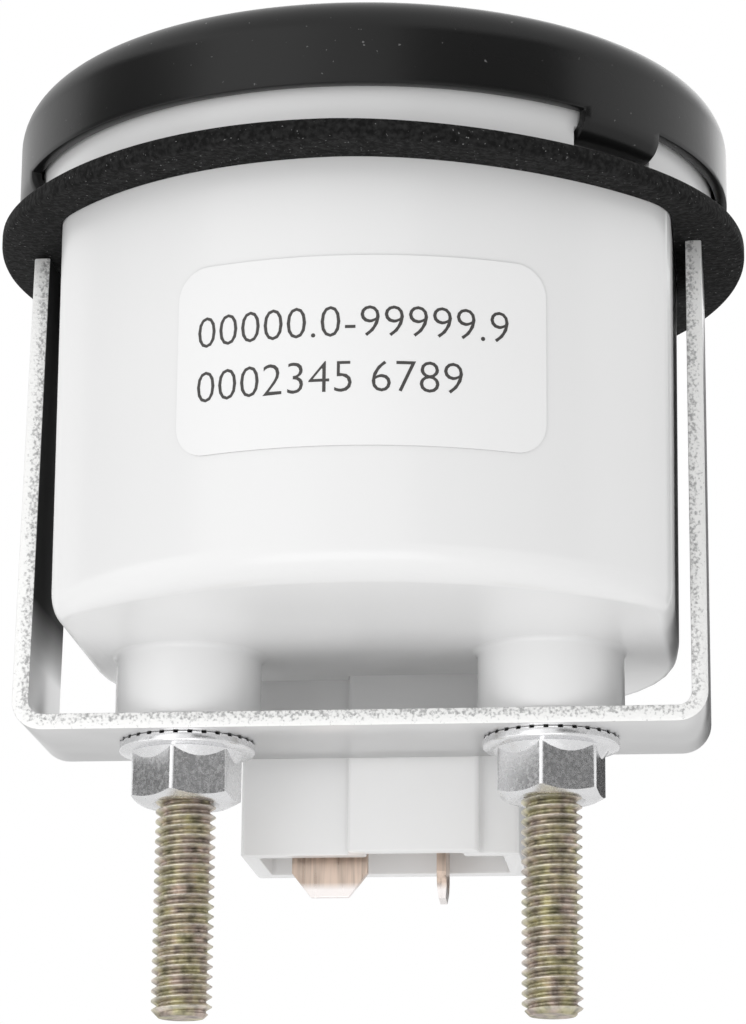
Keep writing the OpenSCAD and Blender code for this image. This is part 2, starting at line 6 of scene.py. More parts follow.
import bmesh
import bpy
from bpy.props import FloatProperty, FloatVectorProperty, IntProperty, PointerProperty, StringProperty
from bpy.types import Operator, Panel, PropertyGroup
from mathutils import Matrix, Vector


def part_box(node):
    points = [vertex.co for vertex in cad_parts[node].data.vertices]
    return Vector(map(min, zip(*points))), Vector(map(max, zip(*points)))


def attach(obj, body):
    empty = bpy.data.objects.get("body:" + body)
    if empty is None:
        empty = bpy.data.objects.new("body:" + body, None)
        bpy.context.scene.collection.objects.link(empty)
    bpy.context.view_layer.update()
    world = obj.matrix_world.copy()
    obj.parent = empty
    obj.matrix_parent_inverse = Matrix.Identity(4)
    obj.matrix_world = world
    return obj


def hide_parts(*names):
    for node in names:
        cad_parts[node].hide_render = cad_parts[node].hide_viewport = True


bl_info = {
    "name": "Hour meter",
    "version": (1, 0, 0),
    "blender": (4, 5, 0),
    "location": "3D View > Sidebar > Hour meter",
    "description": "Builds the visible pieces of a panel hour meter around its solids",
    "category": "Object",
}

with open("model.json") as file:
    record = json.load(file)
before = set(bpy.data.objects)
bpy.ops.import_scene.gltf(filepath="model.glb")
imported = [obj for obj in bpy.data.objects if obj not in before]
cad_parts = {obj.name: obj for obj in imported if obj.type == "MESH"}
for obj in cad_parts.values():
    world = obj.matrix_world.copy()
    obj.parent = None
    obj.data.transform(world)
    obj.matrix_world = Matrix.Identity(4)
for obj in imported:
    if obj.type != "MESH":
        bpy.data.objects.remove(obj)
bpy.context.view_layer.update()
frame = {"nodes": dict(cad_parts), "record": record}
MM = 0.001
IMAGE_HEIGHT = 1024
X_AXIS, Y_AXIS, Z_AXIS = Vector((1, 0, 0)), Vector((0, 1, 0)), Vector((0, 0, 1))
WHEELS = [
    "wheel_tenths",
    "wheel_units",
    "wheel_tens",
    "wheel_hundreds",
    "wheel_thousands",
    "wheel_ten_thousands",
]
TAB_ANGLES = (-42, 78, 198)

# Places that come from the solids
FLANGE_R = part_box("housing")[1].x
FLANGE_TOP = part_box("housing")[1].z
SHROUD_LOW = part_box("housing")[0].z
BEZEL_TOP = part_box("bezel")[1].z
LENS_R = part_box("lens")[1].x
LENS_LOW, LENS_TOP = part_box("lens")[0].z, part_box("lens")[1].z
GASKET_R, GASKET_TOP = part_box("panel_gasket")[1].x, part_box("panel_gasket")[1].z
BRACKET_X, BRACKET_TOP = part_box("clamp_bracket")[1].x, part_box("clamp_bracket")[1].z
BRACKET_Y, BRACKET_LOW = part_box("clamp_bracket")[1].y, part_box("clamp_bracket")[0].z
NUT_FLANGE_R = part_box("flange_nuts")[1].y
NUT_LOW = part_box("flange_nuts")[0].z
STUD_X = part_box("flange_nuts")[1].x - NUT_FLANGE_R
STUD_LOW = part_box("mounting_studs")[0].z
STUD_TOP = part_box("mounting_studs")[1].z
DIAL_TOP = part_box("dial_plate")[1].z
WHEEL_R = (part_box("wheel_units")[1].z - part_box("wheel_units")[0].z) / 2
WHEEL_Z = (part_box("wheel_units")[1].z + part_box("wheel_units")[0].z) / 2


def length(label, description, millimetres):
    """Length property whose default is given in millimetres."""
    return FloatProperty(
        name=label, description=description, default=millimetres * MM, unit="LENGTH", precision=5
    )


def angle(label, description, degrees):
    """Angle property whose default is given in degrees."""
    return FloatProperty(name=label, description=description, default=math.radians(degrees), subtype="ANGLE")


def shade(label, description, red, green, blue):
    """Colour property, in linear values."""
    return FloatVectorProperty(
        name=label, description=description, default=(red, green, blue), subtype="COLOR", min=0, max=1
    )


class MouldingSizes(PropertyGroup):
    """Sizes of the white moulding."""

    body_r: length("Body front", "Distance from the axis to the front of the body", 26.5)
    front_r: length("Front curve", "Radius of the body's curved front and back", 30)
    flat_x: length("Flat", "Distance from the body's middle to each flat", 24.5)
    offset_x: length("Offset", "How far the body's middle lies to the right of the axis", 0.55)
    flat_draft: length("Flat draft", "How far the flats draw in from the gasket to the floor", 0.2)
    corner_r: length("Body corner", "Radius of the upright edges in front of the flats", 7)
    back_corner_r: length("Back corner", "Radius of the upright edges behind the flats", 19)
    body_depth: length("Body depth", "Depth of the body behind the panel seat", 32.8)
    wall: length("Floor", "Thickness of the body floor", 1.8)
    floor_edge_h: length("Floor edge height", "Height of the rounded edge between wall and floor", 2.4)
    floor_edge_front: length("Floor edge front", "Width of that edge at the front and back", 3)
    floor_edge_side: length("Floor edge side", "Width of that edge at the flats", 1.2)
    floor_front_r: length("Floor curve", "Radius of the floor's curved front and back", 32)
    bore_r: length("Bore", "Radius inside the body", 23.3)
    bore_edge_r: length("Bore edge", "Radius of the edge at the bottom of the bore", 0.4)
    flange_edge_r: length("Flange edge", "Radius of the flange's lower outer edge", 0.4)
    flange_root: length("Flange root", "How far the body reaches into the flange", 0.3)
    dial_seat: length("Dial seat", "Depth of the dial seat below the flange top", 2)
    dial_ledge: length("Dial ledge", "Width of the ledge that carries the dial", 1.7)
    boss_r: length("Boss radius", "Radius of the boss around each stud", 5.9)
    boss_h: length("Boss height", "Height of a boss below the body floor", 5.8)
    boss_edge_r: length("Boss edge", "Radius of a boss's lower edge", 0.25)
    boss_root_r: length("Boss root", "Radius of the fillet between a boss and the floor", 0.5)
    shroud_half_w: length("Shroud half width", "Half the width of the connector shroud", 11.5)
    shroud_front: length("Shroud front", "Distance from the middle plane to the front wall", 8.6)
    shroud_back: length("Shroud back", "Distance from the middle plane to the back wall", 19.5)
    shroud_wall: length("Shroud wall", "Thickness of the shroud walls", 1.4)
    shroud_corner_r: length("Shroud corner", "Radius of the shroud's upright corners", 0.4)
    shroud_rim_r: length("Shroud rim", "Radius of the shroud's rim edges", 0.15)
    key_left: length("Key left", "Left side of the shroud's key", -2.5)
    key_right: length("Key right", "Right side of the shroud's key", 8.3)
    key_reach: length("Key reach", "How far the key stands before the front wall", 1.6)
    pocket_depth: length("Tab pocket", "Depth of the pocket behind a bezel tab", 2.7)
    pocket_angle: angle("Pocket angle", "Angle of a tab pocket", 17)


class BezelSizes(PropertyGroup):
    """Sizes of the crimped bezel and the lens under it."""

    outer_r: length("Outside", "Radius of the bezel's outside", 29.45)
    sheet: length("Sheet", "Thickness of the bezel sheet", 0.9)
    low: length("Lower edge", "Height of the lower edge above the panel seat", 4.9)
    shoulder_r: length("Shoulder", "Radius of the rounded shoulder", 3.3)
    opening_r: length("Opening", "Radius of the opening over the lens", 24.2)
    lip_r: length("Lip", "Radius of the edges of the sheet", 0.18)
    tab_angle: angle("Tab angle", "Angle that one tab takes up", 16)
    curl_r: length("Tab curl", "Outside radius of the curl of a tab", 2.1)
    curl_drop: length("Tab drop", "How far the curl's centre lies below the lower edge", 0.2)
    lens_step: length("Lens step", "Width of the step around the lens", 0.8)
    lens_edge_r: length("Lens edge", "Radius of the lens's edges", 0.2)


class GasketSizes(PropertyGroup):
    """Sizes of the foam gasket."""

    clear: length("Clearance", "Gap between the gasket and the body", 0.1)
    edge_r: length("Edge", "Radius of the gasket's edges", 0.45)
    ripple: length("Ripple", "How far the soft ring waves up and down", 0.12)
    sag: length("Sag", "How far the soft ring hangs down on its right", 0.45)
    lift: length("Lift", "How far the left leg presses the soft ring up", 0.5)


class ClampSizes(PropertyGroup):
    """Sizes of the bracket, its studs and its nuts."""

    sheet: length("Sheet", "Thickness of the bracket strip", 1.3)
    bend_r: length("Bend", "Outside radius of the bracket bends", 2.4)
    strip_edge_r: length("Strip edge", "Radius of the strip's long edges", 0.12)
    leg_lean: length("Leg lean", "How far the left leg's foot stands out from its place", 0.6)
    hole_r: length("Hole", "Radius of the bracket's stud holes", 2.73)
    stud_r: length("Stud radius", "Radius over the stud's thread", 2.43)
    stud_head_r: length("Stud head", "Radius of the head moulded into the housing", 3.6)
    stud_head_h: length("Stud head height", "Height of the moulded-in head", 2)
    thread_pitch: length("Thread pitch", "Pitch of the stud's thread", 0.8)
    thread_depth: length("Thread depth", "Depth of the stud's thread", 0.46)
    stud_tip: length("Stud tip", "Chamfer at the end of a stud", 0.6)
    nut_flats: length("Nut flats", "Distance across the flats of a nut", 8)
    nut_flange_h: length("Nut flange", "Height of a nut's flange with its slope", 2)
    nut_rim_h: length("Nut rim", "Height of the upright rim of a nut's flange", 0.7)
    nut_corner_r: length("Nut corner", "Radius of a nut's upright corners", 0.25)
    nut_turn: angle("Nut turn", "Angle of a nut about its stud", 23)
    serrations: IntProperty(name="Serrations", description="Grooves under a nut's flange", default=30)
    groove_w: length("Groove width", "Width of a groove under the flange", 0.4)
    groove_h: length("Groove depth", "Depth of a groove under the flange", 0.2)


class BladeSizes(PropertyGroup):
    """Sizes of the two terminal blades."""

    width: length("Width", "Width of a blade", 6.3)
    thickness: length("Thickness", "Thickness of a blade", 0.8)
    tip_w: length("Tip width", "Width of a blade at its end", 3.15)
    tip_h: length("Tip height", "Height of the tapered end", 2)
    tip_t: length("Tip thickness", "Thickness of a blade at its end", 0.58)
    coined_h: length("Coined height", "Height of the thinned end", 0.9)
    edge_r: length("Edge", "Radius of the blade's edges", 0.07)
    tail_w: length("Tail width", "Width of the solder tail", 2)
    shoulder_z: length("Shoulder", "Height of the shoulder above which the tail starts", -30)


class LabelSizes(PropertyGroup):
    """Sizes of the label and of all print."""

    length_round: length("Length", "Length of the label around the body", 29.1)
    height: length("Height", "Height of the label", 15)
    corner_r: length("Corner", "Radius of the label corners", 2.5)
    film: length("Film", "Thickness of the label film", 0.12)
    place_z: length("Place", "Height of the label's centre", -15.5)
    direction: angle("Direction", "Direction of the label's centre, from +X", -87.4)
    figure_h: length("Figure height", "Height of the figures on the label", 2.65)
    ink: length("Ink", "Thickness of the printed ink", 0.02)
    first_line: StringProperty(
        name="First line", description="First line on the label", default="00000.0-99999.9"
    )
    second_line: StringProperty(
        name="Second line", description="Second line on the label", default="0002345 6789"
    )
    line_left: length("Line left", "Left end of both lines, from the label's centre", -12.9)
    first_line_z: length("First line", "Height of the first line above the label's centre", 1.0)
    second_line_z: length("Second line", "Height of the second line above the label's centre", -3.35)


class DialSizes(PropertyGroup):
    """Sizes of what is printed on the dial and the number wheels."""

    digit_h: length("Digit height", "Height of a digit on a number wheel", 3.4)
    band_half_w: length("Band half width", "Half the width of the number band of a wheel", 1.4)
    band_t: length("Band", "Thickness of the number band", 0.03)
    word_h: length("Word height", "Height of the word on the dial", 2.6)
    word_y: length("Word place", "Distance of the word below the dial's centre", -9.5)
    tenths_h: length("Tenths height", "Height of the figures that mark the tenths wheel", 1.7)
    tenths_y: length("Tenths place", "Distance of the tenths mark above the dial's centre", 5.6)
    window_half_w: length("Window half width", "Half the width of the counter window", 13)
    window_half_h: length("Window half height", "Half the height of the counter window", 2.9)
    frame_w: length("Frame width", "Width of the printed frame around the window", 0.5)
    frame_gap: length("Frame gap", "Gap between the window and its printed frame", 0.7)


class MeterColours(PropertyGroup):
    """Colours of the meter, in linear values."""

    housing: shade("Housing", "White moulded plastic", 0.82, 0.82, 0.82)
    bezel: shade("Bezel", "Black stove paint", 0.008, 0.008, 0.008)
    foam: shade("Foam", "Black foam rubber", 0.009, 0.009, 0.009)
    label: shade("Label", "White label film", 0.86, 0.86, 0.86)
    ink: shade("Ink", "Dark print on the label", 0.055, 0.052, 0.05)
    strip: shade("Strip", "Bright zinc on the bracket", 0.84, 0.84, 0.84)
    sheared: shade("Sheared edge", "Sheared edge of the bracket", 0.93, 0.93, 0.92)
    stud: shade("Stud", "Yellow zinc on the studs", 0.57, 0.53, 0.34)
    stud_stain: shade("Stud stain", "Stain in the yellow zinc", 0.6, 0.5, 0.44)
    nut: shade("Nut", "Bright zinc on the nuts", 0.88, 0.88, 0.89)
    blade: shade("Blade", "Tinned brass of the blades", 0.62, 0.5, 0.42)
    dial: shade("Dial", "Black dial", 0.011, 0.011, 0.012)
    dial_ink: shade("Dial ink", "White print on dial and wheels", 0.8, 0.8, 0.78)
    wheel_white: shade("Tenths wheel", "White number band of the tenths wheel", 0.78, 0.78, 0.75)
    floor: shade("Floor", "Pale floor", 0.88, 0.88, 0.88)


class StageSizes(PropertyGroup):
    """Places and levels of the stage."""

    floor_z: length("Floor", "Height of the floor", -320)
    floor_half: length("Floor half size", "Half the size of the floor", 2500)
    ambient: FloatProperty(name="Ambient", description="Level of the light from all round", default=0.83)
    key_power: FloatProperty(
        name="Key", description="Power of the large lamp on the left", default=0.8, unit="POWER"
    )
    fill_power: FloatProperty(
        name="Fill", description="Power of the lamp below the camera", default=0.4, unit="POWER"
    )
    back_power: FloatProperty(name="Back", description="Power of the lamp behind", default=0.5, unit="POWER")


class MeterSettings(PropertyGroup):
    """All settings of the meter."""

    round_steps: IntProperty(
        name="Round steps", description="Steps in a full turn of a large round", default=192
    )
    small_steps: IntProperty(
        name="Small steps", description="Steps in a full turn of a small round", default=64
    )
    arc_steps: IntProperty(name="Arc steps", description="Steps in a quarter turn of a section", default=10)
    moulding: PointerProperty(type=MouldingSizes)
    bezel: PointerProperty(type=BezelSizes)
    gasket: PointerProperty(type=GasketSizes)
    clamp: PointerProperty(type=ClampSizes)
    blade: PointerProperty(type=BladeSizes)
    label: PointerProperty(type=LabelSizes)
    dial: PointerProperty(type=DialSizes)
    colours: PointerProperty(type=MeterColours)
    stage: PointerProperty(type=StageSizes)


def settings():
    """The settings of the meter in this scene."""
    return bpy.context.scene.hour_meter


# Mesh tools


def arc(centre, radius, start, end, steps=None):
    """Points of an arc in a section, from one angle to another in degrees."""
    steps = steps or max(2, round(abs(end - start) / 90 * settings().arc_steps))
    angles = [math.radians(start + (end - start) * i / steps) for i in range(steps + 1)]
    return [(centre[0] + radius * math.cos(a), centre[1] + radius * math.sin(a)) for a in angles]


def healed(bm):
    """Merges doubles and turns all faces outwards."""
    bmesh.ops.remove_doubles(bm, verts=bm.verts, dist=0.0005 * MM)
    bmesh.ops.dissolve_degenerate(bm, edges=bm.edges, dist=0.0001 * MM)
    bmesh.ops.recalc_face_normals(bm, faces=bm.faces)
    return bm


def turned(section, steps, sweep=360.0, middle=0.0, on_axis=False):
    """Section of (radius, height) points turned about Z, centred on a direction in degrees."""
    bm = bmesh.new()
    first = Matrix.Rotation(math.radians(middle - sweep / 2), 3, "Z")
    verts = [bm.verts.new(first @ Vector((radius, 0, height))) for radius, height in section]
    ends = verts[1:] if on_axis else verts[1:] + verts[:1]
    edges = [bm.edges.new(pair) for pair in zip(verts, ends)]
    whole = sweep >= 360
    bmesh.ops.spin(
        bm,
        geom=verts + edges,
        cent=(0, 0, 0),
        axis=Z_AXIS,
        angle=math.radians(sweep),
        steps=steps,
        use_merge=whole,
    )
    if not whole:
        bmesh.ops.holes_fill(bm, edges=[edge for edge in bm.edges if edge.is_boundary])
    return healed(bm)


def lathe(section):
    """Small round solid about Z, from a section that starts and ends on the axis."""
    return turned(section, settings().small_steps, on_axis=True)


def prism(points, along):
    """Closed outline of points drawn out along a vector."""
    bm = bmesh.new()
    face = bm.faces.new([bm.verts.new(point) for point in points])
    drawn = bmesh.ops.extrude_face_region(bm, geom=[face])["geom"]
    bmesh.ops.translate(bm, verts=[v for v in drawn if isinstance(v, bmesh.types.BMVert)], vec=along)
    bmesh.ops.recalc_face_normals(bm, faces=bm.faces)
    return bm


def block(low, high):
    """Box between two corners."""
    corners = [(low[0], low[1]), (high[0], low[1]), (high[0], high[1]), (low[0], high[1])]
    return prism([(x, y, low[2]) for x, y in corners], (0, 0, high[2] - low[2]))


def moved(bm, vector):
    """Moves a bmesh and gives it back."""
    bmesh.ops.translate(bm, verts=bm.verts, vec=vector)
    return bm


def swung(bm, degrees):
    """Turns a bmesh about Z and gives it back."""
    turn = Matrix.Rotation(math.radians(degrees), 3, "Z")
    bmesh.ops.rotate(bm, verts=bm.verts, cent=(0, 0, 0), matrix=turn)
    return bm


def softened(bm, radius, chosen, segments=3):
    """Rounds the edges that a test picks."""
    bm.normal_update()
    bmesh.ops.bevel(
        bm,
        geom=[edge for edge in bm.edges if chosen(edge)],
        offset=radius,
        offset_type="OFFSET",
        affect="EDGES",
        segments=segments,
        profile=0.5,
        material=-1,
        clamp_overlap=True,
    )
    return bm


def is_crease(edge, degrees=40):
    """Whether two faces meet at an edge by more than an angle."""
    return len(edge.link_faces) == 2 and edge.calc_face_angle(0) > math.radians(degrees)


def is_upright(edge):
    """Whether an edge runs along Z."""
    return abs((edge.verts[0].co - edge.verts[1].co).normalized().z) > 0.99


def both_ends(edge, test):
    """Whether both ends of an edge pass a test on their place."""
    return all(test(vert.co) for vert in edge.verts)


def added(bm, other):
    """Puts a second bmesh beside the first one, without cutting."""
    mesh = bpy.data.meshes.new("scratch")
    other.to_mesh(mesh)
    other.free()
    bm.from_mesh(mesh)
    bpy.data.meshes.remove(mesh)
    return bm


def mesh_object(name, bm, finishes=()):
    """Object in the scene with the mesh of a bmesh, in place of the bmesh."""
    mesh = bpy.data.meshes.new(name)
    bm.to_mesh(mesh)
    bm.free()
    for finish in finishes:
        mesh.materials.append(finish)
    made = bpy.data.objects.new(name, mesh)
    bpy.context.scene.collection.objects.link(made)
    return made


def applied(scratch):
    """Bmesh of an object with its modifiers, in place of the object."""
    depsgraph = bpy.context.evaluated_depsgraph_get()
    mesh = bpy.data.meshes.new_from_object(scratch.evaluated_get(depsgraph))
    bm = bmesh.new()
    bm.from_mesh(mesh)
    data = scratch.data
    bpy.data.objects.remove(scratch)
    bpy.data.meshes.remove(mesh)
    (bpy.data.curves if isinstance(data, bpy.types.Curve) else bpy.data.meshes).remove(data)
    return bm


def combined(base, tool, operation):
    """One bmesh united with, cut by or kept inside another."""
    target, cutter = mesh_object("scratch", base), mesh_object("scratch", tool)
    modifier = target.modifiers.new("combine", "BOOLEAN")
    modifier.operation, modifier.solver, modifier.object = operation, "EXACT", cutter
    bm = applied(target)
    data = cutter.data
    bpy.data.objects.remove(cutter)
    bpy.data.meshes.remove(data)
    if not bm.faces:
        raise RuntimeError("a boolean left nothing")
    return healed(bm)


def lettering(words, height, ink, align="CENTER", thin=0.0):
    """Printed words as a thin solid in the XY plane, with figures of a given height."""
    curve = bpy.data.curves.new("lettering", "FONT")
    curve.body, curve.align_x = words, align
    figure_share = 0.73
    curve.size, curve.extrude, curve.resolution_u = height / figure_share, ink / 2, 3
    curve.offset = thin
    scratch = bpy.data.objects.new("lettering", curve)
    bpy.context.scene.collection.objects.link(scratch)
    return healed(applied(scratch))


def sliced(bm, axis, step):
    """Cuts a flat shape across an axis at even steps, so that it can be bent."""
    places = [vert.co.dot(axis) for vert in bm.verts]
    cut = math.ceil(min(places) / step) * step
    while cut < max(places):
        geom = bm.verts[:] + bm.edges[:] + bm.faces[:]
        bmesh.ops.bisect_plane(bm, geom=geom, dist=0.0001 * MM, plane_co=axis * cut, plane_no=axis)
        cut += step
    return bm


def reshaped(bm, place):
    """Moves each vertex to where a function of its old place puts it."""
    for vert in bm.verts:
        vert.co = place(vert.co)
    bmesh.ops.recalc_face_normals(bm, faces=bm.faces)
    return bm


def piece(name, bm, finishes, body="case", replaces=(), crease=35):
    """Makes a bmesh a piece of the object: its mesh, finish, body and slot."""
    made = mesh_object(name, bm, finishes)
    made.data.polygons.foreach_set("use_smooth", [True] * len(made.data.polygons))
    made.data.set_sharp_from_angle(angle=math.radians(crease))
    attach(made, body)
    if replaces:
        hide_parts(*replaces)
    return made


# Finishes


class Nodes:
    """Short ways to add and link the nodes of a tree."""

    def __init__(self, tree):
        self.nodes, self.links = tree.nodes, tree.links

    def add(self, kind, **values):
        """Adds a node. A value is a property, an output to link, or an input's number."""
        made = self.nodes.new(kind)
        for key, value in values.items():
            if hasattr(made, key) and not key[0].isupper():
                setattr(made, key, value)
                continue
            numbered = key[0] == "I" and key[1:].isdigit()
            socket = made.inputs[int(key[1:]) if numbered else key.replace("_", " ")]
            if isinstance(value, bpy.types.NodeSocket):
                self.links.new(value, socket)
            else:
                socket.default_value = value
        return made

    def place(self):
        """Place on the object."""
        return self.add("ShaderNodeTexCoord").outputs["Object"]

    def noise(self, place, scale, detail):
        """Noise at a place."""
        return self.add("ShaderNodeTexNoise", Vector=place, Scale=scale, Detail=detail).outputs["Fac"]

    def math(self, operation, first, second=0.0):
        """Result of an operation on one or two numbers."""
        return self.add("ShaderNodeMath", operation=operation, I0=first, I1=second).outputs[0]

    def span(self, value, start, end, low=0.0, high=1.0):
        """Number that goes from low to high while a value goes from start to end."""
        return self.add(
            "ShaderNodeMapRange", Value=value, From_Min=start, From_Max=end, To_Min=low, To_Max=high
        ).outputs["Result"]

    def between(self, mask, low, high):
        """Number between two by a mask."""
        return self.add("ShaderNodeMix", data_type="FLOAT", I0=mask, I2=low, I3=high).outputs[0]

    def tone(self, mask, low, high):
        """Colour between two by a mask, each of them a colour or an output."""
        low, high = (c if isinstance(c, bpy.types.NodeSocket) else (*c, 1) for c in (low, high))
        return self.add("ShaderNodeMix", data_type="RGBA", I0=mask, I6=low, I7=high).outputs[2]


class Finish(Nodes):
    """A material under construction."""

    def __init__(self, name, **constants):
        self.material = bpy.data.materials.new(name)
        self.material.use_nodes = True
        super().__init__(self.material.node_tree)
        self.shader = self.nodes["Principled BSDF"]
        for socket, value in constants.items():
            self.shader.inputs[socket.replace("_", " ")].default_value = value

    def effect(self, name, **values):
        """Places a shared effect with its own values, and gives its outputs."""
        placed = self.nodes.new("ShaderNodeGroup")
        placed.node_tree = shared(name)
        for socket, value in values.items():
            placed.inputs[socket].default_value = value
        return placed.outputs

    def feed(self, **outputs):
        """Links outputs to the shader's inputs of the same names."""
        for socket, output in outputs.items():
            self.links.new(output, self.shader.inputs[socket.replace("_", " ")])

    def bump(self, height, depth):
        """Feeds a height to the shader's normal."""
        bump = self.add("ShaderNodeBump", Strength=1.0, Distance=depth, Height=height)
        self.feed(Normal=bump.outputs["Normal"])


def start_effect(name, inputs, outputs):
    """Starts a shared effect: a node group, its nodes, its values and its results."""
    tree = bpy.data.node_groups.new(name, "ShaderNodeTree")
    for label, default in inputs.items():
        socket = tree.interface.new_socket(label, in_out="INPUT", socket_type="NodeSocketFloat")
        socket.default_value = default
    for label in outputs:
        tree.interface.new_socket(label, in_out="OUTPUT", socket_type="NodeSocketFloat")
    nodes = Nodes(tree)
    return tree, nodes, nodes.add("NodeGroupInput").outputs, nodes.add("NodeGroupOutput").inputs


def off_lattice(nodes):
    """Place on the object, shifted so that no flat face lies in a plane where the noise repeats."""
    shift = (0.1237, 0.2391, 0.3177)
    return nodes.add("ShaderNodeVectorMath", operation="ADD", I0=nodes.place(), I1=shift).outputs[0]


def grain_effect():
    """Fine grain of a moulded or sprayed surface, with a slow drift of tone."""
    tree, nodes, given, result = start_effect("fine_grain", {"Grain": 2500, "Drift": 60}, ["Height", "Tone"])
    place = off_lattice(nodes)
    nodes.links.new(nodes.noise(place, given["Grain"], 3), result["Height"])
    nodes.links.new(nodes.noise(place, given["Drift"], 2), result["Tone"])
    return tree


def speckle_effect():
    """Small specks scattered over a surface."""
    values = {"Scale": 3000, "Level": 0.66, "Edge": 0.05}
    tree, nodes, given, result = start_effect("speckle", values, ["Mask"])
    specks = nodes.noise(off_lattice(nodes), given["Scale"], 2)
    top = nodes.math("ADD", given["Level"], given["Edge"])
    nodes.links.new(nodes.span(specks, given["Level"], top), result["Mask"])
    return tree


EFFECTS = {}


def shared(name):
    """A shared effect, built the first time that it is asked for."""
    makers = {"grain": grain_effect, "speckle": speckle_effect}
    if name not in EFFECTS:
        EFFECTS[name] = makers[name]()
    return EFFECTS[name]


def scaled(colour, factor):
    """A colour made darker or lighter."""
    return tuple(min(1.0, channel * factor) for channel in colour)


def plastic(name, colour, roughness, grain=2500, depth=0.004 * MM, spread=0.03):
    """Moulded plastic: fine grain, slow drift of tone and gloss."""
    finish = Finish(name)
    grained = finish.effect("grain", Grain=grain)
    finish.feed(
        Base_Color=finish.tone(grained["Tone"], scaled(colour, 1 - spread), scaled(colour, 1 + spread)),
        Roughness=finish.span(grained["Tone"], 0, 1, roughness - 0.04, roughness + 0.04),
    )
    finish.bump(grained["Height"], depth)
    return finish.material


def metal(name, colour, roughness, grain=1800, depth=0.003 * MM, spread=0.08):
    """Plated or bare metal with a slightly uneven surface."""
    finish = Finish(name, Metallic=1.0)
    grained = finish.effect("grain", Grain=grain, Drift=220)
    finish.feed(
        Base_Color=finish.tone(grained["Tone"], scaled(colour, 1 - spread), scaled(colour, 1 + spread)),
        Roughness=finish.span(grained["Height"], 0, 1, roughness - 0.06, roughness + 0.06),
    )
    finish.bump(grained["Height"], depth)
    return finish.material


def foam_finish():
    """Closed foam rubber with pale specks and open pores."""
    colours = settings().colours
    finish = Finish("foam_rubber", Roughness=0.85, Specular_IOR_Level=0.15)
    specks = finish.effect("speckle", Scale=4200, Level=0.7, Edge=0.04)["Mask"]
    pores = finish.effect("speckle", Scale=2400, Level=0.38, Edge=0.3)["Mask"]
    dusty = finish.tone(pores, scaled(colours.foam, 0.5), scaled(colours.foam, 2.2))
    finish.feed(Base_Color=finish.tone(specks, dusty, (0.22, 0.22, 0.22)))
    finish.bump(pores, 0.06 * MM)
    return finish.material


def bezel_finish():
    """Black stove paint, semi-gloss, with a little dust."""
    finish = Finish("bezel_black", Specular_IOR_Level=0.3)
    grained = finish.effect("grain", Grain=1500, Drift=90)
    dust = finish.effect("speckle", Scale=2200, Level=0.735, Edge=0.03)["Mask"]
    finish.feed(
        Base_Color=finish.tone(dust, settings().colours.bezel, (0.12, 0.12, 0.12)),
        Roughness=finish.span(grained["Tone"], 0, 1, 0.24, 0.34),
    )
    finish.bump(grained["Height"], 0.004 * MM)
    return finish.material


def strip_finish():
    """Bright zinc on the bracket, dull and darkened to near black by painted shade on the legs' inner faces
    along the body, with a sheared edge torn on its inner half.
    """
    colours = settings().colours
    finish = Finish("bright_zinc", Specular_Tint=(0.75, 0.75, 0.75, 1))
    place = finish.place()
    parts = finish.add("ShaderNodeSeparateXYZ", I0=place).outputs
    edge_start = BRACKET_Y - settings().clamp.strip_edge_r
    edge = finish.span(finish.math("ABSOLUTE", parts["Y"]), edge_start, edge_start + 0.06 * MM)
    through = finish.add("ShaderNodeAttribute", attribute_name="through").outputs["Fac"]
    # Painted shade: the inner face of each leg, above a height beside the body, is darkened to near black and
    # made rough.
    beside_body = finish.span(parts["Z"], BRACKET_LOW + 6 * MM, BRACKET_LOW + 11 * MM)
    inner_painted_shade = finish.math("MULTIPLY", beside_body, finish.span(through, 0.12, 0.02))
    grained = finish.effect("grain", Grain=1400, Drift=150)
    bright = finish.tone(grained["Tone"], scaled(colours.strip, 0.95), scaled(colours.strip, 1.05))
    faces = finish.tone(inner_painted_shade, bright, scaled(colours.strip, 0.06))
    torn = finish.noise(place, 4200, 4)
    border = finish.span(through, 0.85, 0.35, -0.16, 0.03)
    pits = finish.span(finish.math("ADD", torn, border), 0.46, 0.68)
    sheared = finish.tone(edge, faces, colours.sheared)
    gloss = finish.between(inner_painted_shade, finish.span(grained["Tone"], 0, 1, 0.26, 0.36), 0.8)
    finish.feed(
        Base_Color=finish.tone(finish.math("MULTIPLY", pits, edge), sheared, (0.42, 0.42, 0.42)),
        Metallic=finish.span(edge, 0, 1, 1.0, 0.35),
        Roughness=finish.between(edge, gloss, 0.5),
    )
    finish.bump(finish.math("MULTIPLY", torn, edge), 0.05 * MM)
    return finish.material


def nut_finish():
    """Bright zinc on the nuts, with speckled flats."""
    nut = settings().colours.nut
    finish = Finish("nut_zinc", Metallic=1.0)
    specks = finish.effect("speckle", Scale=3200, Level=0.4, Edge=0.4)["Mask"]
    finish.feed(
        Base_Color=finish.tone(specks, scaled(nut, 0.92), nut),
        Roughness=finish.span(specks, 0, 1, 0.24, 0.32),
    )
    finish.bump(finish.effect("grain", Grain=700)["Height"], 0.004 * MM)
    return finish.material


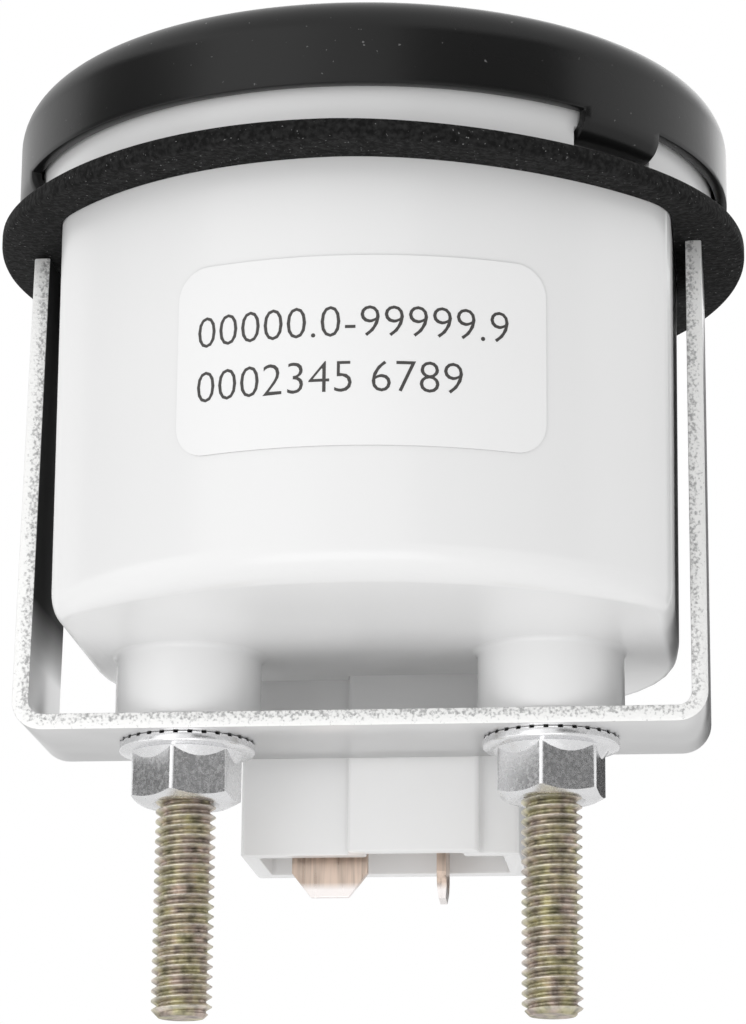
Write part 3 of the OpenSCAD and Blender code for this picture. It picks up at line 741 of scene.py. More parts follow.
def stud_finish():
    """Yellow zinc, stained here and there, darker in the grooves and with a pale painted highlight on the
    crests.
    """
    colours, clamp = settings().colours, settings().clamp
    finish = Finish("yellow_zinc", Metallic=1.0)
    place = finish.place()
    parts = finish.add("ShaderNodeSeparateXYZ", I0=place).outputs
    off_axis = finish.math("SUBTRACT", finish.math("ABSOLUTE", parts["X"]), STUD_X)
    flat = finish.add("ShaderNodeCombineXYZ", X=off_axis, Y=parts["Y"]).outputs[0]
    radius = finish.add("ShaderNodeVectorMath", operation="LENGTH", I0=flat).outputs["Value"]
    crest = finish.span(radius, clamp.stud_r - clamp.thread_depth, clamp.stud_r - 0.05 * MM)
    grained = finish.effect("grain", Grain=3400, Drift=1300)
    stained = finish.span(finish.noise(place, 520, 2), 0.4, 0.6)
    level = finish.span(grained["Tone"], 0.3, 0.7, 0.5, 1.5)
    strength = finish.math("MULTIPLY", level, finish.span(crest, 0, 1, 0.72, 1.0))
    stain = finish.tone(stained, colours.stud, colours.stud_stain)
    tint = finish.add("ShaderNodeVectorMath", operation="SCALE", I0=stain, Scale=strength).outputs[0]
    # Painted highlight: where the grain is high, the crests are mixed towards a pale colour.
    finish.feed(
        Base_Color=finish.tone(finish.math("MULTIPLY", crest, grained["Height"]), tint, (0.8, 0.78, 0.72)),
        Roughness=finish.span(grained["Height"], 0, 1, 0.3, 0.55),
    )
    finish.bump(grained["Height"], 0.04 * MM)
    return finish.material


def blade_finish():
    """Tinned brass, drawn along its length, with a painted reflection that brightens the tip."""
    blade = settings().colours.blade
    finish = Finish("tinned_brass", Metallic=1.0)
    place = finish.place()
    drawn = finish.add("ShaderNodeMapping", Vector=place, Scale=(1, 1, 0.06)).outputs[0]
    streaks = finish.noise(drawn, 2600, 3)
    streak = finish.span(streaks, 0.35, 0.65)
    brass = finish.tone(streak, scaled(blade, 0.72), scaled(blade, 1.15))
    height = finish.add("ShaderNodeSeparateXYZ", I0=place).outputs["Z"]
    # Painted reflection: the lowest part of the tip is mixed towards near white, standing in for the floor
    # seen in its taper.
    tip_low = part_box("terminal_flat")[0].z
    tip = finish.span(height, tip_low + 1.2 * MM, tip_low + 0.6 * MM)
    finish.feed(
        Base_Color=finish.tone(tip, brass, (0.95, 0.9, 0.88)), Roughness=finish.span(streak, 0, 1, 0.26, 0.4)
    )
    finish.bump(streaks, 0.004 * MM)
    return finish.material


def clear_finish():
    """Clear lens that lets the light through to the dial."""
    finish = Finish("clear_lens", Transmission_Weight=1.0, IOR=1.49)
    tone = finish.effect("grain", Grain=900, Drift=45)["Tone"]
    finish.feed(
        Base_Color=finish.tone(tone, (0.97, 0.98, 0.98), (1, 1, 1)),
        Roughness=finish.span(tone, 0, 1, 0.0, 0.04),
    )
    through = finish.add("ShaderNodeBsdfTransparent")
    light_path = finish.add("ShaderNodeLightPath")
    mix = finish.add(
        "ShaderNodeMixShader",
        I0=light_path.outputs["Is Shadow Ray"],
        I1=finish.shader.outputs[0],
        I2=through.outputs[0],
    )
    finish.links.new(mix.outputs[0], finish.nodes["Material Output"].inputs["Surface"])
    return finish.material


def finishes():
    """All finishes of the meter by the name of their material slot."""
    colours = settings().colours
    return {
        "white_plastic": plastic("white_plastic", colours.housing, 0.24, spread=0.012),
        "bezel_black": bezel_finish(),
        "clear_lens": clear_finish(),
        "seal_rubber": plastic("seal_rubber", (0.016, 0.016, 0.016), 0.7, depth=0.02 * MM),
        "foam_rubber": foam_finish(),
        "label_film": plastic("label_film", colours.label, 0.36, spread=0.01, depth=0.002 * MM),
        # The label's cut edge is grey: partly the film's own edge colour and partly painted shade for the
        # thin shadow line along the label.
        "label_edge": plastic("label_edge", (0.55, 0.55, 0.55), 0.6),
        "label_ink": plastic("label_ink", colours.ink, 0.6, spread=0.35),
        "yellow_zinc": stud_finish(),
        "bright_zinc": strip_finish(),
        "nut_zinc": nut_finish(),
        "tinned_brass": blade_finish(),
        "dial_black": plastic("dial_black", colours.dial, 0.5, depth=0.002 * MM, spread=0.2),
        "dial_ink": plastic("dial_ink", colours.dial_ink, 0.5),
        "frame_plastic": plastic("frame_plastic", (0.62, 0.6, 0.52), 0.45),
        "gear_plastic": plastic("gear_plastic", (0.7, 0.68, 0.6), 0.4),
        "wheel_black": plastic("wheel_black", (0.014, 0.014, 0.015), 0.45, spread=0.2),
        "wheel_white": plastic("wheel_white", colours.wheel_white, 0.45),
        "plain_steel": metal("plain_steel", (0.56, 0.57, 0.58), 0.25),
        "pin_metal": metal("pin_metal", (0.7, 0.68, 0.62), 0.3),
        "board_laminate": plastic("board_laminate", (0.05, 0.18, 0.07), 0.35, grain=900, spread=0.2),
        "capacitor_sleeve": plastic("capacitor_sleeve", (0.02, 0.025, 0.05), 0.35, spread=0.2),
        "can_metal": metal("can_metal", (0.66, 0.67, 0.68), 0.3),
        "chip_black": plastic("chip_black", (0.02, 0.02, 0.02), 0.55, spread=0.2),
        "resistor_tan": plastic("resistor_tan", (0.5, 0.36, 0.2), 0.45, spread=0.15),
    }


FINISHES = {}


# Pieces


def body_outline(moulding, grow, front, front_r):
    """Outline of the body along Z, grown at its flats: a front and a back arc, flats and round corners."""
    behind = front_r - front
    middle = moulding.offset_x
    outline = []
    for start, side, wall_corner_r in ((0, 1, moulding.back_corner_r), (180, -1, moulding.corner_r)):
        corner_r = wall_corner_r + grow
        centre_x = moulding.flat_x - wall_corner_r
        reach = math.sqrt((front_r - corner_r) ** 2 - centre_x**2)
        turn = math.degrees(math.atan2(reach, centre_x))
        centre_y = side * (reach - behind)
        outline += arc((middle + side * centre_x, centre_y), corner_r, start, start + turn, 8)
        outline += arc((middle, -side * behind), front_r, start + turn, start + 180 - turn, 72)[1:-1]
        outline += arc((middle - side * centre_x, centre_y), corner_r, start + 180 - turn, start + 180, 8)
    return outline


def body_block(moulding):
    """Solid body under the flange, with drafted flats and a rounded floor edge."""
    bm = bmesh.new()
    rings = []
    for outward, upward in arc((0, 0), 1, -90, 0, 10):
        inset = 1 - outward
        outline = body_outline(
            moulding,
            -moulding.flat_draft - inset * moulding.floor_edge_side,
            moulding.body_r - inset * moulding.floor_edge_front,
            moulding.front_r + inset * (moulding.floor_front_r - moulding.front_r),
        )
        height = (1 + upward) * moulding.floor_edge_h - moulding.body_depth
        rings.append([bm.verts.new((x, y, height)) for x, y in outline])
    outline = body_outline(moulding, 0, moulding.body_r, moulding.front_r)
    rings.append([bm.verts.new((x, y, GASKET_TOP + moulding.flange_root)) for x, y in outline])
    for lower, upper in zip(rings, rings[1:]):
        for i in range(len(lower)):
            bm.faces.new((lower[i - 1], lower[i], upper[i], upper[i - 1]))
    bm.faces.new(rings[0])
    bm.faces.new(rings[-1])
    return healed(bm)


def housing_cup(moulding):
    """Hollow body with its round flange and dial seat."""
    floor_high = -moulding.body_depth + moulding.wall
    bore_r, inner_edge_r = moulding.bore_r, moulding.bore_edge_r
    seat_z = FLANGE_TOP - moulding.dial_seat
    edge_r = moulding.flange_edge_r
    flange = [(0, GASKET_TOP)]
    flange += arc((FLANGE_R - edge_r, GASKET_TOP + edge_r), edge_r, -90, 0, 4)
    flange += [(FLANGE_R, FLANGE_TOP), (0, FLANGE_TOP)]
    bore = [(0, floor_high)]
    bore += arc((bore_r - inner_edge_r, floor_high + inner_edge_r), inner_edge_r, -90, 0)
    bore += [
        (bore_r, seat_z),
        (bore_r + moulding.dial_ledge, seat_z),
        (bore_r + moulding.dial_ledge, FLANGE_TOP + MM),
        (0, FLANGE_TOP + MM),
    ]
    steps = settings().round_steps
    collar = turned(flange, steps, on_axis=True)
    for angle in TAB_ANGLES:
        collar = combined(collar, tab_pocket(moulding, settings().bezel, angle), "DIFFERENCE")
    bm = combined(body_block(moulding), collar, "UNION")
    return combined(bm, turned(bore, steps, on_axis=True), "DIFFERENCE")


def housing_boss(moulding):
    """Boss around a stud, with a rounded end and a fillet at its root, at the origin."""
    low = -moulding.body_depth - moulding.boss_h
    floor_low = -moulding.body_depth
    root_r, edge_r = moulding.boss_root_r, moulding.boss_edge_r
    section = [(0, low)]
    section += arc((moulding.boss_r - edge_r, low + edge_r), edge_r, -90, 0, 4)
    section += arc((moulding.boss_r + root_r, floor_low - root_r), root_r, 180, 90, 5)
    section += [(moulding.boss_r + root_r, floor_low + moulding.wall / 2), (0, floor_low + moulding.wall / 2)]
    return lathe(section)


def shroud_outline(moulding, inset):
    """T outline of the connector shroud, drawn in by an inset."""
    left, right = -moulding.shroud_half_w + inset, moulding.shroud_half_w - inset
    front, back = moulding.shroud_front + inset, moulding.shroud_back - inset
    key_left, key_right = moulding.key_left + inset, moulding.key_right - inset
    key_front = front - moulding.key_reach
    return [
        (left, front),
        (key_left, front),
        (key_left, key_front),
        (key_right, key_front),
        (key_right, front),
        (right, front),
        (right, back),
        (left, back),
    ]


def shroud_prism(moulding, inset, low, high):
    """Shroud outline drawn up between two heights, with rounded upright corners."""
    bm = prism([(x, y, low) for x, y in shroud_outline(moulding, inset)], (0, 0, high - low))
    return softened(bm, moulding.shroud_corner_r, is_upright)


def tab_pocket(moulding, bezel, angle):
    """What is cut from the flange for one tab to curl under its lug."""
    curl_x, curl_z = bezel.outer_r - bezel.curl_r, bezel.low - bezel.curl_drop
    lug_r = bezel.curl_r - bezel.sheet
    past = 0.5 * MM
    inner, outer = bezel.outer_r - moulding.pocket_depth, bezel.outer_r + past
    section = [(inner, GASKET_TOP - past), (outer, GASKET_TOP - past), (outer, curl_z)]
    section += arc((curl_x, curl_z), lug_r, 0, -90)
    section += [(inner, curl_z - lug_r)]
    return turned(section, 24, math.degrees(moulding.pocket_angle), angle)


class HOURMETER_OT_housing(Operator):
    """Model the white moulding: cup, flange, stud bosses and connector shroud"""

    bl_idname = "hour_meter.housing"
    bl_label = "Housing"

    def execute(self, context):
        moulding = settings().moulding
        floor_low = -moulding.body_depth
        bm = housing_cup(moulding)
        for side in (-1, 1):
            bm = combined(bm, moved(housing_boss(moulding), (side * STUD_X, 0, 0)), "UNION")
        shroud = shroud_prism(moulding, 0, SHROUD_LOW, floor_low + moulding.wall / 2)
        bm = combined(bm, shroud, "UNION")
        cavity = shroud_prism(moulding, moulding.shroud_wall, SHROUD_LOW - moulding.wall, floor_low)
        bm = combined(bm, cavity, "DIFFERENCE")
        on_rim = lambda co: abs(co.z - SHROUD_LOW) < 0.01 * MM
        softened(bm, moulding.shroud_rim_r, lambda edge: both_ends(edge, on_rim) and is_crease(edge), 2)
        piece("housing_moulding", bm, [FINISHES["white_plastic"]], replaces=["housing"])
        return {"FINISHED"}


class HOURMETER_OT_bezel(Operator):
    """Model the black bezel with its three curled tabs"""

    bl_idname = "hour_meter.bezel"
    bl_label = "Bezel"

    def execute(self, context):
        bezel = settings().bezel
        outer = bezel.outer_r
        shoulder_z = BEZEL_TOP - bezel.shoulder_r
        centre_r = outer - bezel.shoulder_r
        lip = bezel.sheet / 2
        curl_x, curl_z = outer - bezel.curl_r, bezel.low - bezel.curl_drop
        above_low = bezel.low + bezel.sheet / 2
        section = arc((curl_x, curl_z), bezel.curl_r, -90, 0)
        section += [(outer, above_low)]
        section += arc((centre_r, shoulder_z), bezel.shoulder_r, 0, 90, 16)
        section += arc((bezel.opening_r + lip, BEZEL_TOP - lip), lip, 90, 270, 8)
        section += arc((centre_r, shoulder_z), bezel.shoulder_r - bezel.sheet, 90, 0, 16)
        section += [(outer - bezel.sheet, above_low)]
        section += arc((curl_x, curl_z), bezel.curl_r - bezel.sheet, 0, -90)
        bm = turned(section, settings().round_steps)
        between = 360 / len(TAB_ANGLES)
        past = 0.5 * MM
        low, high = curl_z - bezel.curl_r - past, bezel.low
        gap = [(curl_x - past, low), (outer + past, low), (outer + past, high), (curl_x - past, high)]
        for angle in TAB_ANGLES:
            sweep = between - math.degrees(bezel.tab_angle)
            bm = combined(bm, turned(gap, 72, sweep, angle + between / 2), "DIFFERENCE")
        low_edges = lambda co: co.z < bezel.low + 0.01 * MM
        softened(bm, bezel.lip_r, lambda edge: both_ends(edge, low_edges) and is_crease(edge, 50), 2)
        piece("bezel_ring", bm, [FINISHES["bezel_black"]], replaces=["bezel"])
        return {"FINISHED"}


class HOURMETER_OT_lens(Operator):
    """Model the clear stepped lens"""

    bl_idname = "hour_meter.lens"
    bl_label = "Lens"

    def execute(self, context):
        bezel = settings().bezel
        face_r = LENS_R - bezel.lens_step
        middle = (LENS_LOW + LENS_TOP) / 2
        edge_r = bezel.lens_edge_r
        section = [(0, LENS_LOW)]
        section += arc((LENS_R - edge_r, LENS_LOW + edge_r), edge_r, -90, 0, 3)
        section += arc((LENS_R - edge_r, middle - edge_r), edge_r, 0, 90, 3)
        section += [(face_r, middle)]
        section += arc((face_r - edge_r, LENS_TOP - edge_r), edge_r, 0, 90, 3)
        section += [(0, LENS_TOP)]
        bm = turned(section, settings().round_steps, on_axis=True)
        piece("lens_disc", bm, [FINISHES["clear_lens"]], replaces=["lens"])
        return {"FINISHED"}


class HOURMETER_OT_gasket(Operator):
    """Model the foam gasket, a soft ring that waves a little"""

    bl_idname = "hour_meter.gasket"
    bl_label = "Panel gasket"

    def execute(self, context):
        gasket, moulding = settings().gasket, settings().moulding
        edge_r = gasket.edge_r
        inner_r = moulding.flat_x - MM
        rings = [inner_r + (GASKET_R - edge_r - inner_r) * i / 6 for i in range(6)]
        section = [(radius, 0) for radius in rings]
        section += arc((GASKET_R - edge_r, edge_r), edge_r, 270, 360, 5)
        section += arc((GASKET_R - edge_r, GASKET_TOP - edge_r), edge_r, 0, 90, 5)
        section += [(radius, GASKET_TOP) for radius in reversed(rings)]
        clear = gasket.clear
        hole = body_outline(moulding, clear, moulding.body_r + clear, moulding.front_r + clear)
        plug = prism([(x, y, -MM) for x, y in hole], (0, 0, GASKET_TOP + 2 * MM))
        bm = combined(turned(section, settings().round_steps), plug, "DIFFERENCE")

        def waved(co):
            angle = math.atan2(co.y, co.x)
            outwards = max(0.0, (math.hypot(co.x, co.y) - moulding.body_r) / (GASKET_R - moulding.body_r))
            above = co.z / GASKET_TOP
            wave = 0.6 * math.sin(3 * angle + 0.7) + 0.4 * math.sin(7 * angle + 2.1)
            free = gasket.ripple * outwards * wave * (1 - above / 2)
            across = co.x / GASKET_R
            hang = gasket.sag * math.sin(math.pi * min(1.0, max(0.0, across)) ** 1.4)
            pressed = gasket.lift * min(1.0, max(0.0, -4 * across - 2.9)) ** 2
            return co + Z_AXIS * (free - hang + pressed)

        reshaped(bm, waved)
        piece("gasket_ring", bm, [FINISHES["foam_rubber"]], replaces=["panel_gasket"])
        return {"FINISHED"}


def bracket_side(clamp, inset):
    """Outline of one surface of the bent strip, as points in XZ from the left leg to the right."""
    x, low, bend_r = BRACKET_X - inset, BRACKET_LOW + inset, clamp.bend_r - inset
    points = [(-x, BRACKET_TOP)]
    points += arc((-x + bend_r, low + bend_r), bend_r, 180, 270, 10)
    points += arc((x - bend_r, low + bend_r), bend_r, 270, 360, 10)
    return points + [(x, BRACKET_TOP)]


class HOURMETER_OT_bracket(Operator):
    """Model the bent strip of the clamp bracket"""

    bl_idname = "hour_meter.bracket"
    bl_label = "Clamp bracket"

    def execute(self, context):
        clamp = settings().clamp
        bm = bmesh.new()
        chains = []
        for inset in (0, clamp.sheet):
            verts = [bm.verts.new((x, -BRACKET_Y, z)) for x, z in bracket_side(clamp, inset)]
            chains += [bm.edges.new(pair) for pair in zip(verts, verts[1:])]
        bridged = bmesh.ops.bridge_loops(bm, edges=chains)["faces"]
        drawn = bmesh.ops.extrude_face_region(bm, geom=bridged)["geom"]
        far = [item for item in drawn if isinstance(item, bmesh.types.BMVert)]
        bmesh.ops.translate(bm, verts=far, vec=(0, 2 * BRACKET_Y, 0))
        healed(bm)
        for side in (-1, 1):
            low, high = BRACKET_LOW - clamp.sheet, BRACKET_LOW + 2 * clamp.sheet
            hole = lathe([(0, low), (clamp.hole_r, low), (clamp.hole_r, high), (0, high)])
            bm = combined(bm, moved(hole, (side * STUD_X, 0, 0)), "DIFFERENCE")
        on_side = lambda co: abs(abs(co.y) - BRACKET_Y) < 0.01 * MM
        at_top = lambda co: abs(co.z - BRACKET_TOP) < 0.01 * MM
        long_edge = lambda edge: is_crease(edge) and (both_ends(edge, on_side) or both_ends(edge, at_top))
        softened(bm, clamp.strip_edge_r, long_edge, 2)
        bends = [Vector((s * (BRACKET_X - clamp.bend_r), 0, BRACKET_LOW + clamp.bend_r)) for s in (-1, 1)]
        through = bm.verts.layers.float.new("through")
        for vert in bm.verts:
            x, z = vert.co.x, vert.co.z
            bend = bends[x > 0]
            if z < bend.z and abs(x) > abs(bend.x):
                outward = math.hypot(x - bend.x, z - bend.z) - clamp.bend_r + clamp.sheet
            elif z < bend.z:
                outward = BRACKET_LOW + clamp.sheet - z
            else:
                outward = abs(x) - BRACKET_X + clamp.sheet
            vert[through] = outward / clamp.sheet

        def leaned(co):
            beyond_stud = max(0.0, (-co.x - STUD_X) / (BRACKET_X - STUD_X))
            depth = (BRACKET_TOP - co.z) / (BRACKET_TOP - BRACKET_LOW)
            return co - X_AXIS * (clamp.leg_lean * beyond_stud * depth)

        reshaped(bm, leaned)
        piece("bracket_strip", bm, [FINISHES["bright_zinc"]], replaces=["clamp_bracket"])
        return {"FINISHED"}


def threaded_rod(clamp, low, high):
    """Rod with a V thread, cut square at both heights, about the Z axis."""
    bm = bmesh.new()
    crest, root = clamp.stud_r, clamp.stud_r - clamp.thread_depth
    pitch = clamp.thread_pitch
    ridge = [(root, 0), (root, 0.2), (crest, 0.55), (crest, 0.65), (root, 1)]
    verts = [bm.verts.new((radius, 0, low + (along - 1.5) * pitch)) for radius, along in ridge]
    edges = [bm.edges.new(pair) for pair in zip(verts, verts[1:])]
    turn_steps = 36
    turns = math.ceil((high - low) / pitch) + 3
    bmesh.ops.spin(
        bm,
        geom=verts + edges,
        cent=(0, 0, 0),
        axis=Z_AXIS,
        angle=2 * math.pi * turns,
        steps=turn_steps * turns,
        dvec=Z_AXIS * (pitch / turn_steps),
        use_merge=False,
    )
    bmesh.ops.remove_doubles(bm, verts=bm.verts, dist=0.01 * MM)
    for height, normal in ((low, -Z_AXIS), (high, Z_AXIS)):
        geom = bm.verts[:] + bm.edges[:] + bm.faces[:]
        bmesh.ops.bisect_plane(
            bm, geom=geom, dist=0.001 * MM, plane_co=Z_AXIS * height, plane_no=normal, clear_outer=True
        )
    bmesh.ops.holes_fill(bm, edges=[edge for edge in bm.edges if edge.is_boundary])
    return healed(bm)


class HOURMETER_OT_studs(Operator):
    """Model the two threaded studs with their moulded-in heads"""

    bl_idname = "hour_meter.studs"
    bl_label = "Mounting studs"

    def execute(self, context):
        clamp = settings().clamp
        stud = bmesh.new()
        root_r = clamp.stud_r - clamp.thread_depth
        head_z = STUD_TOP - clamp.stud_head_h
        rod = threaded_rod(clamp, STUD_LOW, BRACKET_LOW)
        tip_r, tip_top = clamp.stud_r - clamp.stud_tip, STUD_LOW + clamp.stud_tip
        tip = [(0, STUD_LOW), (tip_r, STUD_LOW), (clamp.stud_r, tip_top)]
        tip += [(clamp.stud_r, BRACKET_LOW + MM), (0, BRACKET_LOW + MM)]
        rod = combined(rod, lathe(tip), "INTERSECT")
        shank = [(0, BRACKET_LOW), (root_r, BRACKET_LOW), (root_r, head_z), (clamp.stud_head_r, head_z)]
        shank += [(clamp.stud_head_r, STUD_TOP), (0, STUD_TOP)]
        added(stud, rod)
        added(stud, lathe(shank))
        pair = bmesh.new()
        for side, twist in ((-1, 0), (1, 140)):
            added(pair, moved(swung(stud.copy(), twist), (side * STUD_X, 0, 0)))
        stud.free()
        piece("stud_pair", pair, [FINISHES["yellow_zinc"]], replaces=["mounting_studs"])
        return {"FINISHED"}


def flange_nut(clamp):
    """Hexagon nut with a domed flange, serrated where it bears, about the Z axis."""
    corner_r = clamp.nut_flats / 2 / math.cos(math.pi / 6)
    height = BRACKET_LOW - NUT_LOW
    bm = bmesh.new()
    bmesh.ops.create_circle(bm, cap_ends=True, radius=corner_r, segments=6)
    drawn = bmesh.ops.extrude_face_region(bm, geom=bm.faces[:])["geom"]
    upper = [item for item in drawn if isinstance(item, bmesh.types.BMVert)]
    bmesh.ops.translate(bm, verts=upper, vec=(0, 0, height - clamp.nut_rim_h))
    bmesh.ops.recalc_face_normals(bm, faces=bm.faces)
    softened(bm, clamp.nut_corner_r, is_upright)
    bm.transform(Matrix.Translation((0, 0, NUT_LOW)))
    face_r = clamp.nut_flats / 2 - 0.25 * MM
    face_edge_w, face_edge_h = 0.2 * MM, 0.08 * MM
    edge_z = NUT_LOW + face_edge_h
    past_r = corner_r + MM
    rise = (past_r - face_r) * math.tan(math.radians(30))
    chamfer = [(0, NUT_LOW), (face_r - face_edge_w, NUT_LOW), (face_r, edge_z)]
    chamfer += [(past_r, edge_z + rise), (past_r, BRACKET_LOW), (0, BRACKET_LOW)]
    bm = combined(bm, lathe(chamfer), "INTERSECT")
    rim_low = BRACKET_LOW - clamp.nut_rim_h
    slope_low = BRACKET_LOW - clamp.nut_flange_h
    rim_r = 0.22 * MM
    flange = [(0, slope_low), (face_r, slope_low)]
    flange += [(NUT_FLANGE_R - 0.9 * MM, rim_low - 0.25 * MM)]
    flange += arc((NUT_FLANGE_R - rim_r, rim_low + rim_r * 0.4), rim_r, -60, 0, 4)
    flange += arc((NUT_FLANGE_R - rim_r, BRACKET_LOW - rim_r), rim_r, 0, 90, 4)
    flange += [(0, BRACKET_LOW)]
    bm = combined(bm, turned(flange, settings().small_steps * 2, on_axis=True), "UNION")
    half_w = clamp.groove_w / 2
    for i in range(clamp.serrations):
        groove = block(
            (clamp.stud_r + MM, -half_w, BRACKET_LOW - clamp.groove_h),
            (NUT_FLANGE_R + MM, half_w, BRACKET_LOW + MM),
        )
        bm = combined(bm, swung(groove, 360 * i / clamp.serrations), "DIFFERENCE")
    bore_r, mouth_r, mouth_h = clamp.stud_r - 0.1 * MM, clamp.stud_r + 0.3 * MM, 0.4 * MM
    bore = [(0, NUT_LOW - MM), (mouth_r, NUT_LOW - MM), (mouth_r, NUT_LOW), (bore_r, NUT_LOW + mouth_h)]
    bore += [(bore_r, BRACKET_LOW + MM), (0, BRACKET_LOW + MM)]
    return combined(bm, lathe(bore), "DIFFERENCE")


class HOURMETER_OT_nuts(Operator):
    """Model the two flange nuts"""

    bl_idname = "hour_meter.nuts"
    bl_label = "Flange nuts"

    def execute(self, context):
        clamp = settings().clamp
        nut = swung(flange_nut(clamp), math.degrees(clamp.nut_turn) + 30)
        pair = bmesh.new()
        for side in (-1, 1):
            added(pair, moved(nut.copy(), (side * STUD_X, 0, 0)))
        nut.free()
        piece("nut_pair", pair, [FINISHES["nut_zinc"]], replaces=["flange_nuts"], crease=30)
        return {"FINISHED"}


def blade_mesh(blade, low, high):
    """Blade in the XZ plane about the Z axis: a thinned tip, a taper, the broad part and the tail."""
    coined_w = blade.tip_w + (blade.width - blade.tip_w) * blade.coined_h / blade.tip_h
    levels = [
        (blade.tip_w, blade.tip_t, low),
        (coined_w, blade.thickness, low + blade.coined_h),
        (blade.width, blade.thickness, low + blade.tip_h),
        (blade.width, blade.thickness, blade.shoulder_z),
        (blade.tail_w, blade.thickness, blade.shoulder_z + 0.05 * MM),
        (blade.tail_w, blade.thickness, high),
    ]
    bm = bmesh.new()
    bmesh.ops.create_grid(bm, x_segments=1, y_segments=1, size=0.5)
    first_w, first_t, first_z = levels[0]
    bmesh.ops.scale(bm, vec=(first_w, first_t, 1), verts=bm.verts)
    bmesh.ops.translate(bm, vec=(0, 0, first_z), verts=bm.verts)
    face = bm.faces[:][0]
    for (old_w, old_t, old_z), (new_w, new_t, new_z) in zip(levels, levels[1:]):
        drawn = bmesh.ops.extrude_discrete_faces(bm, faces=[face])["faces"]
        face = drawn[0]
        verts = list(face.verts)
        bmesh.ops.scale(bm, vec=(new_w / old_w, new_t / old_t, 1), verts=verts)
        bmesh.ops.translate(bm, vec=(0, 0, new_z - old_z), verts=verts)
    bmesh.ops.holes_fill(bm, edges=[edge for edge in bm.edges if edge.is_boundary])
    bmesh.ops.recalc_face_normals(bm, faces=bm.faces)
    return softened(bm, blade.edge_r, lambda edge: is_crease(edge, 50), 2)


class HOURMETER_OT_blades(Operator):
    """Model the two terminal blades, one about a quarter turn from the other"""

    bl_idname = "hour_meter.blades"
    bl_label = "Terminal blades"

    def execute(self, context):
        for node, turn in (("terminal_flat", 0), ("terminal_cross", 92.4)):
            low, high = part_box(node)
            centre = (low + high) / 2
            bm = swung(blade_mesh(settings().blade, low.z, high.z), turn)
            moved(bm, (centre.x, centre.y, 0))
            piece(
                node + "_blade", bm, [FINISHES["tinned_brass"]],
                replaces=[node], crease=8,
            )
        return {"FINISHED"}


def round_body(label, moulding):
    """Function that lays flat (along, up, out) points round the body at the label's place."""
    centre_y = moulding.front_r - moulding.body_r

    def place(co):
        angle = label.direction + co.x / moulding.front_r
        reach = moulding.front_r + co.z
        x, y = moulding.offset_x + reach * math.cos(angle), centre_y + reach * math.sin(angle)
        return Vector((x, y, label.place_z + co.y))

    return place


class HOURMETER_OT_label(Operator):
    """Model the film label and the plain figures printed on it"""

    bl_idname = "hour_meter.label"
    bl_label = "Label"

    def execute(self, context):
        label, moulding = settings().label, settings().moulding
        reach_x, reach_z = label.length_round / 2 - label.corner_r, label.height / 2 - label.corner_r
        outline = []
        for right, up, start in ((1, -1, -90), (1, 1, 0), (-1, 1, 90), (-1, -1, 180)):
            outline += arc((right * reach_x, up * reach_z), label.corner_r, start, start + 90)
        slice_step = 0.4 * MM
        film = sliced(prism([(x, y, 0) for x, y in outline], (0, 0, label.film)), X_AXIS, slice_step)
        # Side faces take the grey edge finish: the film's own edge colour together with a painted shadow
        # line.
        for face in film.faces:
            face.material_index = int(abs(face.normal.z) < 0.5)
        reshaped(film, round_body(label, moulding))
        coats = [FINISHES["label_film"], FINISHES["label_edge"]]
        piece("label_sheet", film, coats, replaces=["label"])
        print_mesh = bmesh.new()
        lines = ((label.first_line, label.first_line_z), (label.second_line, label.second_line_z))
        for words, height in lines:
            line = lettering(words, label.figure_h, label.ink, "LEFT", -0.05 * MM)
            added(print_mesh, moved(line, (label.line_left, height, label.film + label.ink / 2)))
        sliced(print_mesh, X_AXIS, slice_step)
        reshaped(print_mesh, round_body(label, moulding))
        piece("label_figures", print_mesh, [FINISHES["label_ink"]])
        return {"FINISHED"}


class HOURMETER_OT_dial(Operator):
    """Print the word, the tenths mark and the window frame on the dial"""

    bl_idname = "hour_meter.dial"
    bl_label = "Dial print"

    def execute(self, context):
        dial, ink = settings().dial, settings().label.ink
        top = DIAL_TOP + ink / 2
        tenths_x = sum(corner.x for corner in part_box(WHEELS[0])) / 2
        bm = moved(lettering("HOURS", dial.word_h, ink), (0, dial.word_y - dial.word_h / 2, top))
        added(bm, moved(lettering("1/10", dial.tenths_h, ink), (tenths_x, dial.tenths_y, top)))
        outer_x, outer_y = dial.window_half_w + dial.frame_gap, dial.window_half_h + dial.frame_gap
        for x_low, x_high, y_low, y_high in (
            (-outer_x, outer_x, outer_y - dial.frame_w, outer_y),
            (-outer_x, outer_x, -outer_y, dial.frame_w - outer_y),
            (-outer_x, dial.frame_w - outer_x, -outer_y, outer_y),
            (outer_x - dial.frame_w, outer_x, -outer_y, outer_y),
        ):
            added(bm, block((x_low, y_low, DIAL_TOP), (x_high, y_high, DIAL_TOP + ink)))
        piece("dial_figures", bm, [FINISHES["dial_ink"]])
        return {"FINISHED"}


